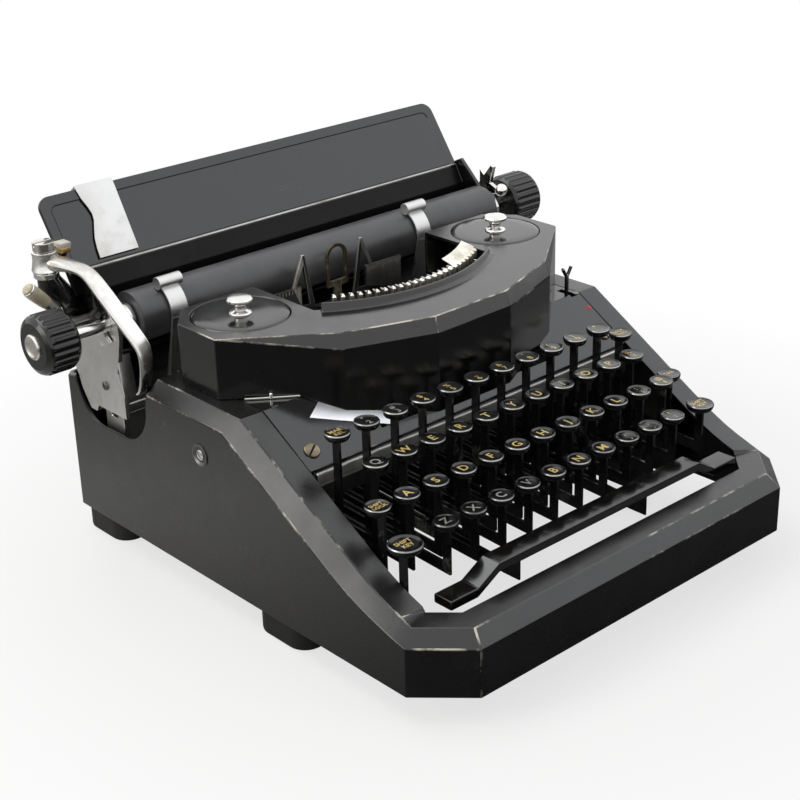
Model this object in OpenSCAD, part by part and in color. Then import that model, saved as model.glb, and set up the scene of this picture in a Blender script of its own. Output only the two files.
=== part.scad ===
// Portable typewriter, an assembly of separate pieces, in millimetres.
// X runs to the right of the typist, Y to the back, Z up. The origin is on the table under the middle.

/* [Body shell] */
// Distance from the outermost key lever to the side of the shell
side_margin = 23.1; // [21:0.1:26]
// Depth of the shell
body_d = 306; // [304:1:312]
// Height of the shell's lower edge above the table
base_z = 14; // [10:1:16]
// Sheet thickness of the walls
wall_t = 1.8; // [1.2:0.1:2]
// Length of the front corner chamfer along each side
front_chamfer = 25; // [15:1:30]
// Length of the rear corner chamfer along each side
rear_chamfer = 4; // [3.5:0.5:8]
// Height of the vertical front face's top edge
front_edge_z = 40.6; // [36:0.2:44]
// Height of the outer edge beside the deck
deck_edge_z = 106.5; // [104:0.5:109]
// Height of the deck and of the rim's lip beside it
deck_z = 113.8; // [112:0.2:116]
// Width of the bevel round the rim
bevel_in = 7.5; // [5:0.5:9]
// Rise of the bevel at the front
front_rise = 7.1; // [5:0.1:9]
// Width of the flat lip inside the bevel
lip_w = 14; // [12:0.5:15]
// Sheet thickness of the lip and the deck
sheet_t = 2; // [1.5:0.1:2.2]
// Slope of the sides towards the front, in degrees
slope_angle = 31; // [29:0.5:33]
// Depth position where the outer edge starts to slope
slope_top_y = 4.9; // [2:0.1:8]
// How far in front of that the deck itself bends
slope_setback = 6.8; // [5:0.1:8]
// Rise per millimetre of the toe, the flatter end of the slope
toe_slope = 0.27; // [0.2:0.01:0.35]
// Height of the rear wall
rear_wall_z = 95; // [85:1:96]

/* [Feet] */
// Length of a rubber foot
foot_l = 40; // [36:1:42]
// Width of a rubber foot
foot_w = 22; // [16:1:24]
// Distance of a foot from the side of the shell
foot_inset = 1.5; // [1:0.5:4]
// Distance of the rear feet's middle from the back of the shell
rear_foot_set = 22; // [22:1:30]
// Depth position of the front feet
front_foot_y = -30; // [-60:1:-20]

/* [Carriage cut in the sides] */
// Depth position of the front corner of the cut
cut_front_y = 97; // [96:0.5:100]
// Depth position of the rear corner of the cut
cut_rear_y = 117; // [115:0.5:119]
// Height of the cut's bottom
cut_z = 73.5; // [70:0.5:75]
// Radius of the cut's corners
cut_r = 24.5; // [23:0.5:25]

/* [Ribbon cover] */
// Height of the cover's top
cover_z = 147; // [145:0.5:149]
// Height of the bevel along the cover's front
cover_bevel_h = 8.4; // [5:0.2:10]
// How far the cover's front bevel stands out
cover_bevel_out = 3; // [1:0.5:4]
// Half width of the cover's nose
nose_x = 26; // [20:1:32]
// Depth position of the nose
nose_y = -31.6; // [-33:0.2:-28]
// Half width at the shoulder
shoulder_x = 74.6; // [68:0.2:80]
// Depth position of the shoulder
shoulder_y = -14.6; // [-18:0.2:-12]
// Half width at the cheek, the widest place
cheek_x = 125.7; // [124:0.1:127]
// Depth position of the cheek
cheek_y = 24.3; // [20:0.1:28]
// Depth position where the cheek turns to the back
cheek_rear_y = 56; // [50:1:60]
// Half width at the cover's back
cover_rear_x = 112; // [110:1:118]
// Depth position of the cover's back
cover_rear_y = 72.5; // [72:0.1:72.8]
// Sheet thickness of the cover
cover_t = 2; // [1.5:0.1:2.4]
// Half width of the opening over the type basket
basket_x = 64; // [62:0.5:66]
// Radius of the basket opening's front edge
basket_r = 103; // [100:0.5:105]
// Height of the rim round that edge
rim_h = 4; // [2:0.5:5]

/* [Spools and lids] */
// Distance of a spool from the middle
spool_x = 94.3; // [93:0.1:95]
// Depth position of the spools
spool_y = 43.8; // [43:0.1:44.2]
// Radius of a spool lid
lid_r = 26; // [25:0.1:26.2]
// Thickness of a spool lid
lid_t = 2; // [1.5:0.1:2.5]
// Radius of a lid knob's top
lid_knob_r = 7; // [5:0.5:9]
// Height of a lid knob
lid_knob_h = 9.6; // [7:0.2:12]
// Radius of a spool's flanges
spool_r = 23.5; // [18:0.5:24]
// Height of a spool
spool_h = 20; // [12:1:22]
// Radius of a spool's spindle
spindle_r = 3; // [2:0.5:4]

/* [Type basket] */
// Depth position of the type bars' common centre
basket_y = 101; // [100:0.5:102]
// Number of type bars
bar_count = 24; // [20:1:30]
// Half of the angle that the type bars fill, in degrees
bar_half_angle = 32; // [30:1:38]
// Radius where the type bars start
bar_in_r = 42; // [42:0.5:46]
// Gap between the outer ends of the type bars and the opening's edge
bar_gap = 7; // [6:0.5:13]
// Thickness of a type bar
bar_t = 1.2; // [0.8:0.1:1.3]
// Width of the segment
segment_w = 8; // [6:0.5:9]

/* [Keyboard] */
// Distance between neighbouring keys
key_pitch = 19.05; // [19:0.05:19.2]
// Radius of a key top
key_r = 6.4; // [5:0.1:6.6]
// Radius of a shift key top
shift_r = 8.6; // [7:0.1:9]
// Thickness of a key top
key_t = 3.2; // [2:0.1:4]
// Thickness of a key lever
lever_t = 1.4; // [1:0.1:1.6]
// Height of a key lever
lever_h = 6; // [4:0.5:7]
// Width of a key stem
stem_w = 5; // [4:0.5:6]
// Depth position of the key rod
rod_y = 66; // [62:0.5:67]
// Height of the key rod
rod_z = 56; // [54:0.5:57]
// Radius of the key rod
rod_r = 2.5; // [2:0.1:3]
// Height of the levers under the keys
lever_z = 50; // [46:0.5:52]
// Depth positions of the four key rows, from the numbers down
row_y = [-48.1, -64.4, -84, -100];
// Heights of the key tops in the four rows
row_z = [113.7, 99.8, 89.1, 76.2];
// Position across of the first key of each row, in key pitches from the middle
row_start = [-5.675, -5.15, -5.024, -4.499];
// Number of keys in each row
row_n = [11, 11, 11, 10];
// Sideways set of each row's levers, which spaces all levers evenly
row_set = [-0.7, -1.2, 1.2, 0.7];

/* [Space bar] */
// Half length of the raised middle of the space bar
bar_mid_x = 76; // [60:1:80]
// Half length of the whole space bar
bar_end_x = 108.5; // [104:0.5:110]
// Depth position of the space bar
bar_y = -121; // [-122:0.5:-120]
// Width of the space bar
bar_w = 12; // [9:0.5:12.5]
// Height of the space bar's middle
bar_top_z = 60; // [56:0.5:62]
// How much lower the ends are
bar_drop = 8; // [4:0.5:10]
// Thickness of the space bar
bar_thick = 5; // [3:0.5:6]

/* [Carriage] */
// Depth position of the platen's axis
platen_y = 104; // [103.5:0.1:104.5]
// Height of the platen's axis
platen_z = 137; // [136:0.1:138]
// Radius of the platen
platen_r = 14.5; // [13:0.1:14.8]
// Left end of the platen
platen_left = -124; // [-126:0.5:-120]
// Right end of the platen
platen_right = 143; // [140:0.5:144]
// Radius of the platen shaft
shaft_r = 4; // [3:0.1:4.5]
// Radius of the ratchet wheel at the platen's left end
ratchet_r = 9; // [8:0.1:10]
// Radius of a platen knob
knob_r = 16.5; // [14:0.5:18]
// Width of a platen knob
knob_w = 20; // [16:0.5:22]
// Distance from the middle to the outer face of a platen knob
knob_end = 183; // [180:0.5:186]
// Number of grip ribs on a platen knob
knob_ribs = 24; // [16:1:30]
// Thickness of the carriage's end plates
end_t = 3; // [2:0.1:3]
// Inner face of the left end plate
left_end = -135; // [-135.5:0.1:-134.5]
// Inner face of the right end plate
right_end = 146; // [145.5:0.1:147]
// Height of the carriage bar's underside
bar_under_z = 84; // [83:0.2:85]
// Height of the carriage bar
carriage_bar_h = 10; // [8:0.5:11]
// Front of the carriage rail
rail_front_y = 102; // [101:0.5:103]
// Back of the carriage rail
rail_back_y = 120; // [119:0.5:121]
// Height of the carriage rail's underside
rail_z = 62; // [61:0.5:64]

/* [Return lever] */
// Position across of the lever post
post_x = -157; // [-158:0.1:-156.8]
// Depth position of the lever post
post_y = 128; // [127:0.1:129]
// Radius of the lever post
post_r = 4; // [3:0.1:4.5]
// Height of the lever's seat on the casting
seat_z = 166; // [165:0.2:167]
// Height of the lever's hub
hub_h = 11; // [8:0.5:12]
// Radius of the lever's hub
hub_r = 6.8; // [6.4:0.1:8.6]
// Width of the lever's strap
strap_w = 9; // [6:0.5:10]
// Thickness of the lever's strap
strap_t = 2.6; // [2:0.1:3]
// Height of the screw head on the post
head_h = 5; // [3:0.5:6]

/* [Paper table] */
// Left edge of the paper table
table_left = -146.5; // [-147:0.5:-138]
// Right edge of the paper table
table_right = 140.5; // [134:0.5:142]
// Radius of the table's top corners
table_corner_r = 7; // [5:0.5:10]
// Depth position of the table's crease
crease_y = 124.5; // [124:0.1:126]
// Height of the table's crease
crease_z = 162; // [161:0.1:163]
// Depth position of the table's top edge
table_top_y = 149.8; // [147:0.2:150]
// Height of the table's top edge
table_top_z = 198.2; // [190:0.2:199]
// Sheet thickness of the table
table_t = 2; // [1.5:0.1:2.5]
// Position across of the paper guide's middle
guide_x = -110.5; // [-114:0.5:-100]
// Width of the paper guide
guide_w = 23; // [18:0.5:28]
// Sheet thickness of the paper guide
guide_t = 1.2; // [0.8:0.1:1.5]

/* [Fits] */
// Radial clearance of a turning fit
turn_fit = 0.05; // [0.02:0.01:0.08]
// Gap between pieces that lie on each other and move
lie_gap = 0.3; // [0.2:0.05:0.4]

/* [Hidden] */
$fn = 48;
outer_lever = 6.11;
body_w = 2 * (outer_lever * key_pitch + side_margin);
half_w = body_w / 2;
half_d = body_d / 2;
// Places across and in depth are drawn for this width and depth, and follow the shell's own
drawn_w = 279;
drawn_d = 306;
function ax(x) = x * body_w / drawn_w;
function ay(y) = y * body_d / drawn_d;
small_scale = min(body_w / drawn_w, body_d / drawn_d);
lid_edge_r = lid_r * small_scale;
flange_r = spool_r * small_scale;
bar_spread = bar_half_angle * body_w / drawn_w;
bar_out_r = basket_r - bar_gap;
foot_ys = [half_d - rear_foot_set, ay(front_foot_y)];
break_y = ay(slope_top_y) - slope_setback;
front_lip_z = front_edge_z + front_rise;
lip_in = bevel_in + lip_w;
deck_half = half_w - lip_in - lie_gap;
deck_front_y = ay(nose_y) - cover_bevel_out - 3.4;
deck_rear_y = ay(cover_rear_y) - lie_gap;
toe_round = 5;
rear_lip = 3;
chassis_t = 3;
chassis_gap = 10.5;
chassis_in = half_w - chassis_gap - chassis_t;
rail_top_z = bar_under_z - lie_gap;
carriage_bar_y = [ay(rail_front_y) + 1, ay(rail_back_y) + 1];
knob_bore_r = shaft_r;
cap_t = 1.6;
left_knob_in = -knob_end + knob_w;
right_knob_in = knob_end - knob_w - 4;
beam_t = 6;
beam_gap = 13;
beam_y = half_d - beam_gap - beam_t;
drum_x = -70;
drum_z = 42;
drum_r = 19;
drum_w = 14;
drum_y = beam_y - 14;
bell_x = 66;
bell_r = 17;

segment_z = [98, 115];
mid_beam_y = [ay(73), ay(84)];
mid_beam_z = [58, 66];
lid_z = cover_z - lid_t;
spool_z = deck_z + 2.5;
selector_gap = 5.2;
selector_x = deck_half - selector_gap;
selector_y = ay(3);
selector_z = deck_z - 7;
selector_r = 1.5;
finger_rod_y = ay(platen_y) - 5.6;
finger_rod_z = 90;
finger_rod_r = 1.6;

letters = ["qwertyuiop", "asdfghjkl", "zxcvbnm"];
letter_rows = [1, 2, 3];
letter_nodes = [for (r = [0 : 2]) for (i = [0 : len(letters[r]) - 1]) str("key_", letters[r][i])];

black = [0.05, 0.05, 0.06];
steel = [0.72, 0.72, 0.7];
bright = [0.86, 0.86, 0.85];
rubber = [0.2, 0.2, 0.21];
cream = [0.85, 0.8, 0.62];

// Extrudes an outline drawn in (Y, Z) along X, centred
module across(w) {
    rotate([90, 0, 90]) linear_extrude(w, center = true) children();
}

// A box from its lowest to its highest corner
module block(low, high) {
    translate(low) cube(high - low);
}

// A round bar along X
module bar_x(x0, x1, y, z, r) {
    translate([x0, y, z]) rotate([0, 90, 0]) cylinder(r = r, h = x1 - x0);
}

// A copy at both sides of the middle
module both_sides() {
    for (m = [0, 1]) mirror([m, 0, 0]) children();
}

// The point p of an outline moved inwards by d, where the outline runs anticlockwise
function left_normal(a, b) = let (v = (b - a) / norm(b - a)) [-v[1], v[0]];
function moved_in(a, p, b, d) =
    let (n1 = left_normal(a, p), n2 = left_normal(p, b)) p + (n1 + n2) * d / (1 + n1 * n2);

// The larger of two heights, with the crossing rounded
function soft_max(a, b) = (a + b + sqrt(pow(a - b, 2) + pow(toe_round, 2))) / 2;
function slope_height(y, top, start) = min(top, top + (y - start) * tan(slope_angle));
function edge_height(y) = min(deck_edge_z, soft_max(
    deck_edge_z + (y - ay(slope_top_y)) * tan(slope_angle),
    front_edge_z - toe_round / 4 + (y + half_d - front_chamfer) * toe_slope));
function lip_height(y) = min(deck_z, soft_max(
    deck_z + (y - break_y) * tan(slope_angle),
    front_lip_z - toe_round / 4 + (y + half_d - front_chamfer) * toe_slope));

// Stations round the shell: place in plan, edge height, lip height, bevel width, lip width
toe_end = -half_d + front_chamfer;
last_side_y = toe_end + lip_in * tan(22.5) + 1;
side_ys = concat([ay(cut_front_y) - cut_r - 3, ay(slope_top_y), break_y, ay(-50)],
    [for (k = [0 : 7]) ay(-66) + (last_side_y - ay(-66)) * k / 7]);
function side_station(s, y) = [[s * half_w, y], edge_height(y), lip_height(y), bevel_in, lip_in];
function rear_station(s, x, y) = [[s * x, y], rear_wall_z, rear_wall_z + 0.6, 1.2, rear_lip];
left_side = [for (y = side_ys) side_station(-1, y)];
right_side = [for (k = [len(side_ys) - 1 : -1 : 0]) side_station(1, side_ys[k])];
function front_station(s, x, y) = [[s * x, y], front_edge_z, front_lip_z, bevel_in, lip_in];
stations = concat(
    [rear_station(-1, half_w - rear_chamfer, half_d), rear_station(-1, half_w, half_d - rear_chamfer)],
    left_side,
    [front_station(-1, half_w, toe_end), front_station(-1, half_w - front_chamfer, -half_d)],
    [front_station(1, half_w - front_chamfer, -half_d), front_station(1, half_w, toe_end)],
    right_side,
    [rear_station(1, half_w, half_d - rear_chamfer), rear_station(1, half_w - rear_chamfer, half_d)]);

// The shell's section at station i: outer wall, bevel, lip and the inside of each
function section(i) =
    let (n = len(stations), s = stations[i], a = stations[(i + n - 1) % n][0],
         b = stations[(i + 1) % n][0])
    [for (q = [[0, base_z], [0, s[1]], [s[3], s[2]], [s[4], s[2]], [s[4], s[2] - sheet_t],
               [s[3] + 0.8, s[2] - sheet_t], [wall_t, s[1] - 0.6], [wall_t, base_z]])
        let (p = moved_in(a, s[0], b, q[0])) [p[0], p[1], q[1]]];

module body_shell() {
    n = len(stations);
    m = 8;
    points = [for (i = [0 : n - 1]) for (p = section(i)) p];
    faces = [for (i = [0 : n - 1]) for (j = [0 : m - 1]) for (half = [0, 1])
        let (next = ((i + 1) % n) * m, a = i * m + j, b = i * m + (j + 1) % m,
             c = next + (j + 1) % m, d = next + j)
        half == 0 ? [a, b, c] : [a, c, d]];
    color(black) difference() {
        polyhedron(points, faces);
        across(body_w + 20) carriage_cut();
    }
}

// Outline of the cut in the sides, open at the top
module carriage_cut() {
    top_z = deck_z + 20;
    floor_z = cut_z + cut_r;
    translate([ay(cut_front_y), floor_z]) circle(cut_r);
    translate([ay(cut_rear_y), floor_z]) circle(cut_r);
    polygon([[ay(cut_front_y), cut_z], [ay(cut_rear_y), cut_z], [ay(cut_rear_y) + cut_r, floor_z],
             [ay(cut_rear_y) + cut_r, top_z], [ay(cut_front_y) - cut_r - 6, top_z],
             [ay(cut_front_y) - cut_r, floor_z]]);
}

module rubber_feet() {
    color(rubber) both_sides() for (y = foot_ys) {
        x = half_w - foot_inset - foot_w / 2;
        run = foot_l - foot_w;
        for (e = [-1, 1]) translate([x, y + e * run / 2, 0]) cylinder(r = foot_w / 2, h = base_z);
        block([x - foot_w / 2, y - run / 2, 0], [x + foot_w / 2, y + run / 2, base_z]);
    }
}

// The frame inside: side plates, cross beams, ledges under the deck and pads over the feet
module chassis() {
    ledge_z = deck_z - sheet_t;
    comb_z = lip_height(deck_front_y) - sheet_t - 5;
    color(black) {
        both_sides() {
            translate([chassis_in + chassis_t / 2, 0]) across(chassis_t) polygon([
                [ay(-70), base_z], [ay(-70), 52], [deck_front_y - 6, comb_z], [break_y + 8, ledge_z],
                [ay(64), ledge_z], [ay(72), rail_z], [beam_y + beam_t, rail_z], [beam_y + beam_t, base_z]]);
            block([deck_half - 6, break_y + 12, ledge_z - 4], [chassis_in + 1, ay(62), ledge_z]);
            for (y = foot_ys)
                block([chassis_in - 9, y - foot_l / 2 + 5, base_z],
                      [half_w - wall_t, y + foot_l / 2 - 5, base_z + 3]);
        }
        block([-chassis_in - 1, beam_y, 26], [chassis_in + 1, beam_y + beam_t, 60]);
        block([-chassis_in - 1, mid_beam_y[0], mid_beam_z[0]],
              [chassis_in + 1, mid_beam_y[1], mid_beam_z[1]]);
        block([-chassis_in - 1, deck_front_y - 5, comb_z - 9], [chassis_in + 1, deck_front_y - 1, comb_z]);
        translate([drum_x, beam_y + 1, drum_z]) rotate([90, 0, 0])
            cylinder(r = spindle_r, h = beam_y + 1 - drum_y + drum_w);
        translate([bell_x, beam_y + 1, drum_z]) rotate([90, 0, 0]) cylinder(r = spindle_r, h = 11);
    }
}

module deck_plate() {
    color(black) {
        difference() {
            across(2 * deck_half) polygon([
                [deck_rear_y, deck_z], [break_y, deck_z],
                [deck_front_y, slope_height(deck_front_y, deck_z, break_y)],
                [deck_front_y, slope_height(deck_front_y, deck_z, break_y) - sheet_t * 1.2],
                [break_y - 0.4, deck_z - sheet_t], [deck_rear_y, deck_z - sheet_t]]);
            block([-ax(basket_x), ay(nose_y) + 0.6, 0], [ax(basket_x), deck_rear_y + 1, cover_z]);
            block([selector_x - 2, selector_y - 6, 0], [selector_x + 2, selector_y + 6, cover_z]);
        }
        for (e = [-1, 1]) difference() {
            block([selector_x + e * 3.6 - 0.8, selector_y - 3, selector_z - 3.5],
                  [selector_x + e * 3.6 + 0.8, selector_y + 3, deck_z - sheet_t / 2]);
            bar_x(selector_x - 9, selector_x + 9, selector_y, selector_z, selector_r + turn_fit);
        }
        both_sides() translate([ax(spool_x), ay(spool_y), deck_z - sheet_t / 2])
            cylinder(r = spindle_r, h = spool_z + spool_h - deck_z + sheet_t / 2);
    }
}

// The cover's outline, anticlockwise from the back left, each point moved out by its own amount
cover_half = [[ax(cover_rear_x), ay(cover_rear_y)], [ax(cheek_x), ay(cheek_rear_y)],
    [ax(cheek_x), ay(cheek_y)], [ax(shoulder_x), ay(shoulder_y)], [ax(nose_x), ay(nose_y)]];
cover_plan = concat([for (p = cover_half) [-p[0], p[1]]], [for (k = [4 : -1 : 0]) cover_half[k]]);
function cover_outline(front_out, inset) =
    [for (k = [0 : 9])
        let (n = len(cover_plan), front = (k >= 3 && k <= 6) ? front_out : 0)
        moved_in(cover_plan[(k + n - 1) % n], cover_plan[k], cover_plan[(k + 1) % n], inset - front)];

module cover_form(inset, top) {
    skin = 0.01;
    hull() {
        translate([0, 0, top - skin]) linear_extrude(skin) polygon(cover_outline(0, inset));
        translate([0, 0, top - cover_bevel_h]) linear_extrude(skin)
            polygon(cover_outline(cover_bevel_out, inset));
    }
    translate([0, 0, deck_z - 30]) linear_extrude(top - cover_bevel_h - deck_z + 30)
        polygon(cover_outline(cover_bevel_out, inset));
}

module ribbon_cover() {
    ledge = 2;
    rim_w = 5;
    rim_angle = asin(ax(basket_x) / (basket_r + rim_w));
    color(black) translate([0, ay(basket_y), cover_z]) rotate([0, 0, -90 - rim_angle])
        rotate_extrude(angle = 2 * rim_angle, $fn = 120) polygon([[basket_r, -cover_t / 2],
            [basket_r + rim_w, -cover_t / 2], [basket_r + rim_w, 0], [basket_r + 2.6, 0.8],
            [basket_r + 1.4, rim_h], [basket_r, rim_h]]);
    color(black) difference() {
        union() {
            difference() {
                cover_form(0, cover_z);
                cover_form(cover_t, cover_z - cover_t);
                both_sides() translate([ax(spool_x), ay(spool_y), deck_z])
                    cylinder(r = lid_edge_r + lie_gap, h = 60);
            }
            both_sides() translate([ax(spool_x), ay(spool_y), 0]) difference() {
                translate([0, 0, lid_z - lie_gap - ledge])
                    cylinder(r = lid_edge_r + 2.4, h = ledge + lie_gap);
                cylinder(r = lid_edge_r - 2, h = cover_z);
                translate([0, 0, lid_z - lie_gap]) cylinder(r = lid_edge_r + lie_gap, h = 20);
            }
        }
        intersection() {
            translate([0, ay(basket_y), 0]) cylinder(r = basket_r, h = 200, $fn = 120);
            block([-ax(basket_x), ay(nose_y), 0], [ax(basket_x), half_d, 200]);
        }
        across(body_w) polygon([[-half_d, 0], [half_d, 0], [half_d, deck_z], [break_y, deck_z],
            [-half_d, slope_height(-half_d, deck_z, break_y)]]);
    }
}

module spool_lid(s) {
    neck = 3.2;
    color(black) translate([s * ax(spool_x), ay(spool_y), lid_z]) {
        cylinder(r = lid_edge_r, h = lid_t);
        rotate_extrude() polygon([[0, lid_t / 2], [5, lid_t / 2], [5, lid_t + 1.6], [neck, lid_t + 2.2],
            [neck, lid_t + 4], [lid_knob_r, lid_t + lid_knob_h - 2.4],
            [lid_knob_r - 0.8, lid_t + lid_knob_h], [0, lid_t + lid_knob_h]]);
    }
}
module spool_lid_left() { spool_lid(-1); }
module spool_lid_right() { spool_lid(1); }

module ribbon_spool(s) {
    flange = 1;
    color(steel) translate([s * ax(spool_x), ay(spool_y), spool_z]) difference() {
        union() {
            cylinder(r = flange_r, h = flange);
            cylinder(r = flange_r - 5, h = spool_h - flange);
            translate([0, 0, spool_h - flange]) cylinder(r = flange_r, h = flange);
        }
        translate([0, 0, -1]) cylinder(r = spindle_r + turn_fit, h = spool_h + 2);
    }
}
module ribbon_spool_left() { ribbon_spool(-1); }
module ribbon_spool_right() { ribbon_spool(1); }

// The block that the type bars turn in: an arc on a post from the chassis
module type_segment() {
    outer = bar_in_r - lie_gap;
    half_angle = bar_spread + 10;
    color(steel) {
        translate([0, ay(basket_y), segment_z[0]]) rotate([0, 0, -90 - half_angle])
            rotate_extrude(angle = 2 * half_angle)
                translate([outer - segment_w, 0]) square([segment_w, segment_z[1] - segment_z[0]]);
        block([-18, mid_beam_y[0], mid_beam_z[1]],
              [18, mid_beam_y[0] + 5.5, segment_z[0] + 4]);
        block([-18, ay(basket_y) - outer + segment_w - 1.5, segment_z[0] - 4],
              [18, mid_beam_y[0] + 5.5, segment_z[0] + 4]);
    }
}

module type_bars() {
    color(bright) translate([0, ay(basket_y), 0]) for (i = [0 : bar_count - 1]) {
        a = bar_spread * (2 * i / (bar_count - 1) - 1);
        rotate([0, 0, a - 90]) rotate([90, 0, 0]) linear_extrude(bar_t, center = true) polygon([
            [bar_in_r, segment_z[0] + 9], [bar_in_r + 4, segment_z[0] + 9], [bar_out_r, cover_z - 8],
            [bar_out_r, cover_z + rim_h], [bar_out_r - 4, cover_z + rim_h], [bar_out_r - 4, cover_z - 4],
            [bar_in_r, segment_z[1] - 2]]);
    }
}

vibrator_x = 5.5;
vibrator_y = [ay(platen_y) - 20.4, ay(platen_y) - 18.6];
module ribbon_vibrator() {
    half = 8;
    loop_z = 144;
    rim = 2.4;
    color([0.25, 0.22, 0.15]) translate([vibrator_x, vibrator_y[1]]) rotate([90, 0, 0])
        linear_extrude(vibrator_y[1] - vibrator_y[0]) difference() {
            union() {
                translate([0, loop_z]) circle(half);
                translate([-half, 126]) square([2 * half, loop_z - 126]);
                translate([-3, 100]) square([6, 27]);
            }
            translate([0, loop_z]) circle(half - rim);
            translate([rim - half, 130]) square([2 * (half - rim), loop_z - 130]);
        }
}

module line_scale() {
    y = [ay(platen_y) - 23.4, ay(platen_y) - 21.6];
    back = ay(basket_y) - bar_in_r + lie_gap + segment_w;
    scale_z = 134;
    foot_z = segment_z[1];
    guide_half = 3 + lie_gap;
    color(black) {
        block([-52, y[0], foot_z], [52, y[1], foot_z + 5]);
        both_sides() {
            block([24, y[0], foot_z], [52, y[1], scale_z]);
            translate([0, y[1]]) rotate([90, 0, 0]) linear_extrude(y[1] - y[0]) difference() {
                polygon([[14, 118], [34, 118], [34, scale_z], [30, scale_z], [22.4, 152], [20.6, 152]]);
                polygon([[18.4, 122], [29, 122], [29, scale_z - 2], [21.8, 146]]);
            }
        }
        block([-12, back - 1.3, foot_z], [12, y[1], foot_z + 4]);
        for (e = [-1, 1]) block([vibrator_x + e * (guide_half + 1) - 1, y[0], foot_z],
                                [vibrator_x + e * (guide_half + 1) + 1, vibrator_y[1], foot_z + 5]);
    }
}

// Small forked lever in a slot of the deck, on a pin between two lugs
module ribbon_selector() {
    color(black) translate([selector_x, selector_y, selector_z]) {
        bar_x(-5, 5, 0, 0, selector_r);
        cylinder(r = 1.2, h = 18);
        for (e = [-1, 1]) translate([0, 0, 16.5]) rotate([0, e * 32, 0]) cylinder(r = 1, h = 7);
    }
}

module key_rod() {
    color(steel) bar_x(-chassis_in, chassis_in, ay(rod_y), rod_z, rod_r);
}

// One key: round top, stem and the lever that turns on the key rod
module key(x, lever_x, y, top, r) {
    eye = rod_r + 3;
    color(black) difference() {
        union() {
            translate([x, y, top - key_t]) cylinder(r1 = r - 1, r2 = r, h = key_t * 0.6);
            translate([x, y, top - key_t * 0.4]) cylinder(r = r, h = key_t * 0.4);
            block([lever_x - lever_t / 2, y - stem_w / 2, lever_z],
                  [lever_x + lever_t / 2, y + stem_w / 2, top - key_t + 0.2]);
            translate([lever_x, 0]) across(lever_t) {
                polygon([[y - stem_w / 2, lever_z - lever_h / 2], [y - stem_w / 2, lever_z + lever_h / 2],
                         [ay(rod_y), rod_z + lever_h / 2], [ay(rod_y), rod_z - lever_h / 2]]);
                translate([ay(rod_y), rod_z]) circle(eye);
            }
        }
        bar_x(lever_x - lever_t, lever_x + lever_t, ay(rod_y), rod_z, rod_r + turn_fit);
    }
}

// The key at place i of row r
module row_key(r, i) {
    x = (row_start[r] + i) * key_pitch;
    key(x, x + row_set[r], ay(row_y[r]), row_z[r], key_r);
}

module number_keys() {
    drop = 8;
    for (i = [0 : row_n[0] - 1]) row_key(0, i);
    x = (row_start[0] + row_n[0]) * key_pitch;
    key(x, x + row_set[0], ay(row_y[0]), row_z[0] - drop, key_r);
}

// The keys after the letters in each row
module symbol_keys() {
    side_key = [5.984 * key_pitch, ay(-74), 84.5];
    key(side_key[0], side_key[0], side_key[1], side_key[2], key_r);
    for (k = [0 : 2]) for (i = [len(letters[k]) : row_n[letter_rows[k]] - 1])
        row_key(letter_rows[k], i);
}

shift_x = [-6.026, 5.69] * key_pitch;
shift_lever_x = [-outer_lever, 5.69] * key_pitch;
// Both shift keys and the lock on one bail behind the key rod
module shift_keys() {
    bail_y = ay(rod_y) + ay(26);
    bail_z = rod_z - 10;
    lock_x = (row_start[2] - 1) * key_pitch;
    lock_lever_x = lock_x + 2.4;
    color(black) {
        key(shift_x[0], shift_lever_x[0], ay(row_y[3]) - 3, row_z[3], shift_r);
        key(shift_x[1], shift_lever_x[1], ay(row_y[3]) - 1, row_z[3], shift_r - 1.2);
        key(lock_x, lock_lever_x, ay(row_y[2]), row_z[2], key_r);
        for (x = concat(shift_lever_x, lock_lever_x)) translate([x, 0]) across(lever_t) polygon([
            [ay(rod_y) + 1, rod_z - rod_r - 2.6], [ay(rod_y) + 4.6, rod_z - 1],
            [bail_y, bail_z + 2], [bail_y, bail_z - 2]]);
        bar_x(shift_lever_x[0] - 1, shift_lever_x[1] + 1, bail_y, bail_z, 3);
    }
}

module space_bar() {
    arm_xs = [-3.0856, 1.9144] * key_pitch;
    end_z = bar_top_z - bar_drop;
    fall = bar_drop * 1.8;
    mid_x = ax(bar_mid_x);
    end_x = ax(bar_end_x);
    y = ay(bar_y);
    low_z = bar_top_z - bar_thick;
    color(black) {
        translate([0, y + bar_w / 2]) rotate([90, 0, 0]) linear_extrude(bar_w) polygon([
            [-end_x, end_z - bar_thick], [-mid_x - fall, end_z - bar_thick],
            [-mid_x, bar_top_z - bar_thick], [mid_x, bar_top_z - bar_thick],
            [mid_x + fall, end_z - bar_thick], [end_x, end_z - bar_thick],
            [end_x, end_z], [mid_x + fall, end_z], [mid_x, bar_top_z],
            [-mid_x, bar_top_z], [-mid_x - fall, end_z], [-end_x, end_z]]);
        for (x = arm_xs) difference() {
            translate([x, 0]) across(lever_t) {
                polygon([[y - 3, low_z + 1], [y - 3, lever_z - 8], [y + 8, lever_z - 8],
                         [ay(rod_y), rod_z - lever_h / 2], [ay(rod_y), rod_z + lever_h / 2],
                         [y + 10, lever_z], [y + 3, low_z + 1]]);
                translate([ay(rod_y), rod_z]) circle(rod_r + 3);
            }
            bar_x(x - lever_t, x + lever_t, ay(rod_y), rod_z, rod_r + turn_fit);
        }
    }
}

module carriage_rail() {
    groove = 4;
    color(steel) difference() {
        block([-chassis_in - chassis_t - 6, ay(rail_front_y), rail_z],
              [chassis_in + chassis_t + 6, ay(rail_back_y), rail_top_z]);
        block([-half_w, ay(rail_front_y) + 6, rail_top_z - groove],
              [half_w, ay(rail_back_y) - 6, rail_top_z + 1]);
    }
}

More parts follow.
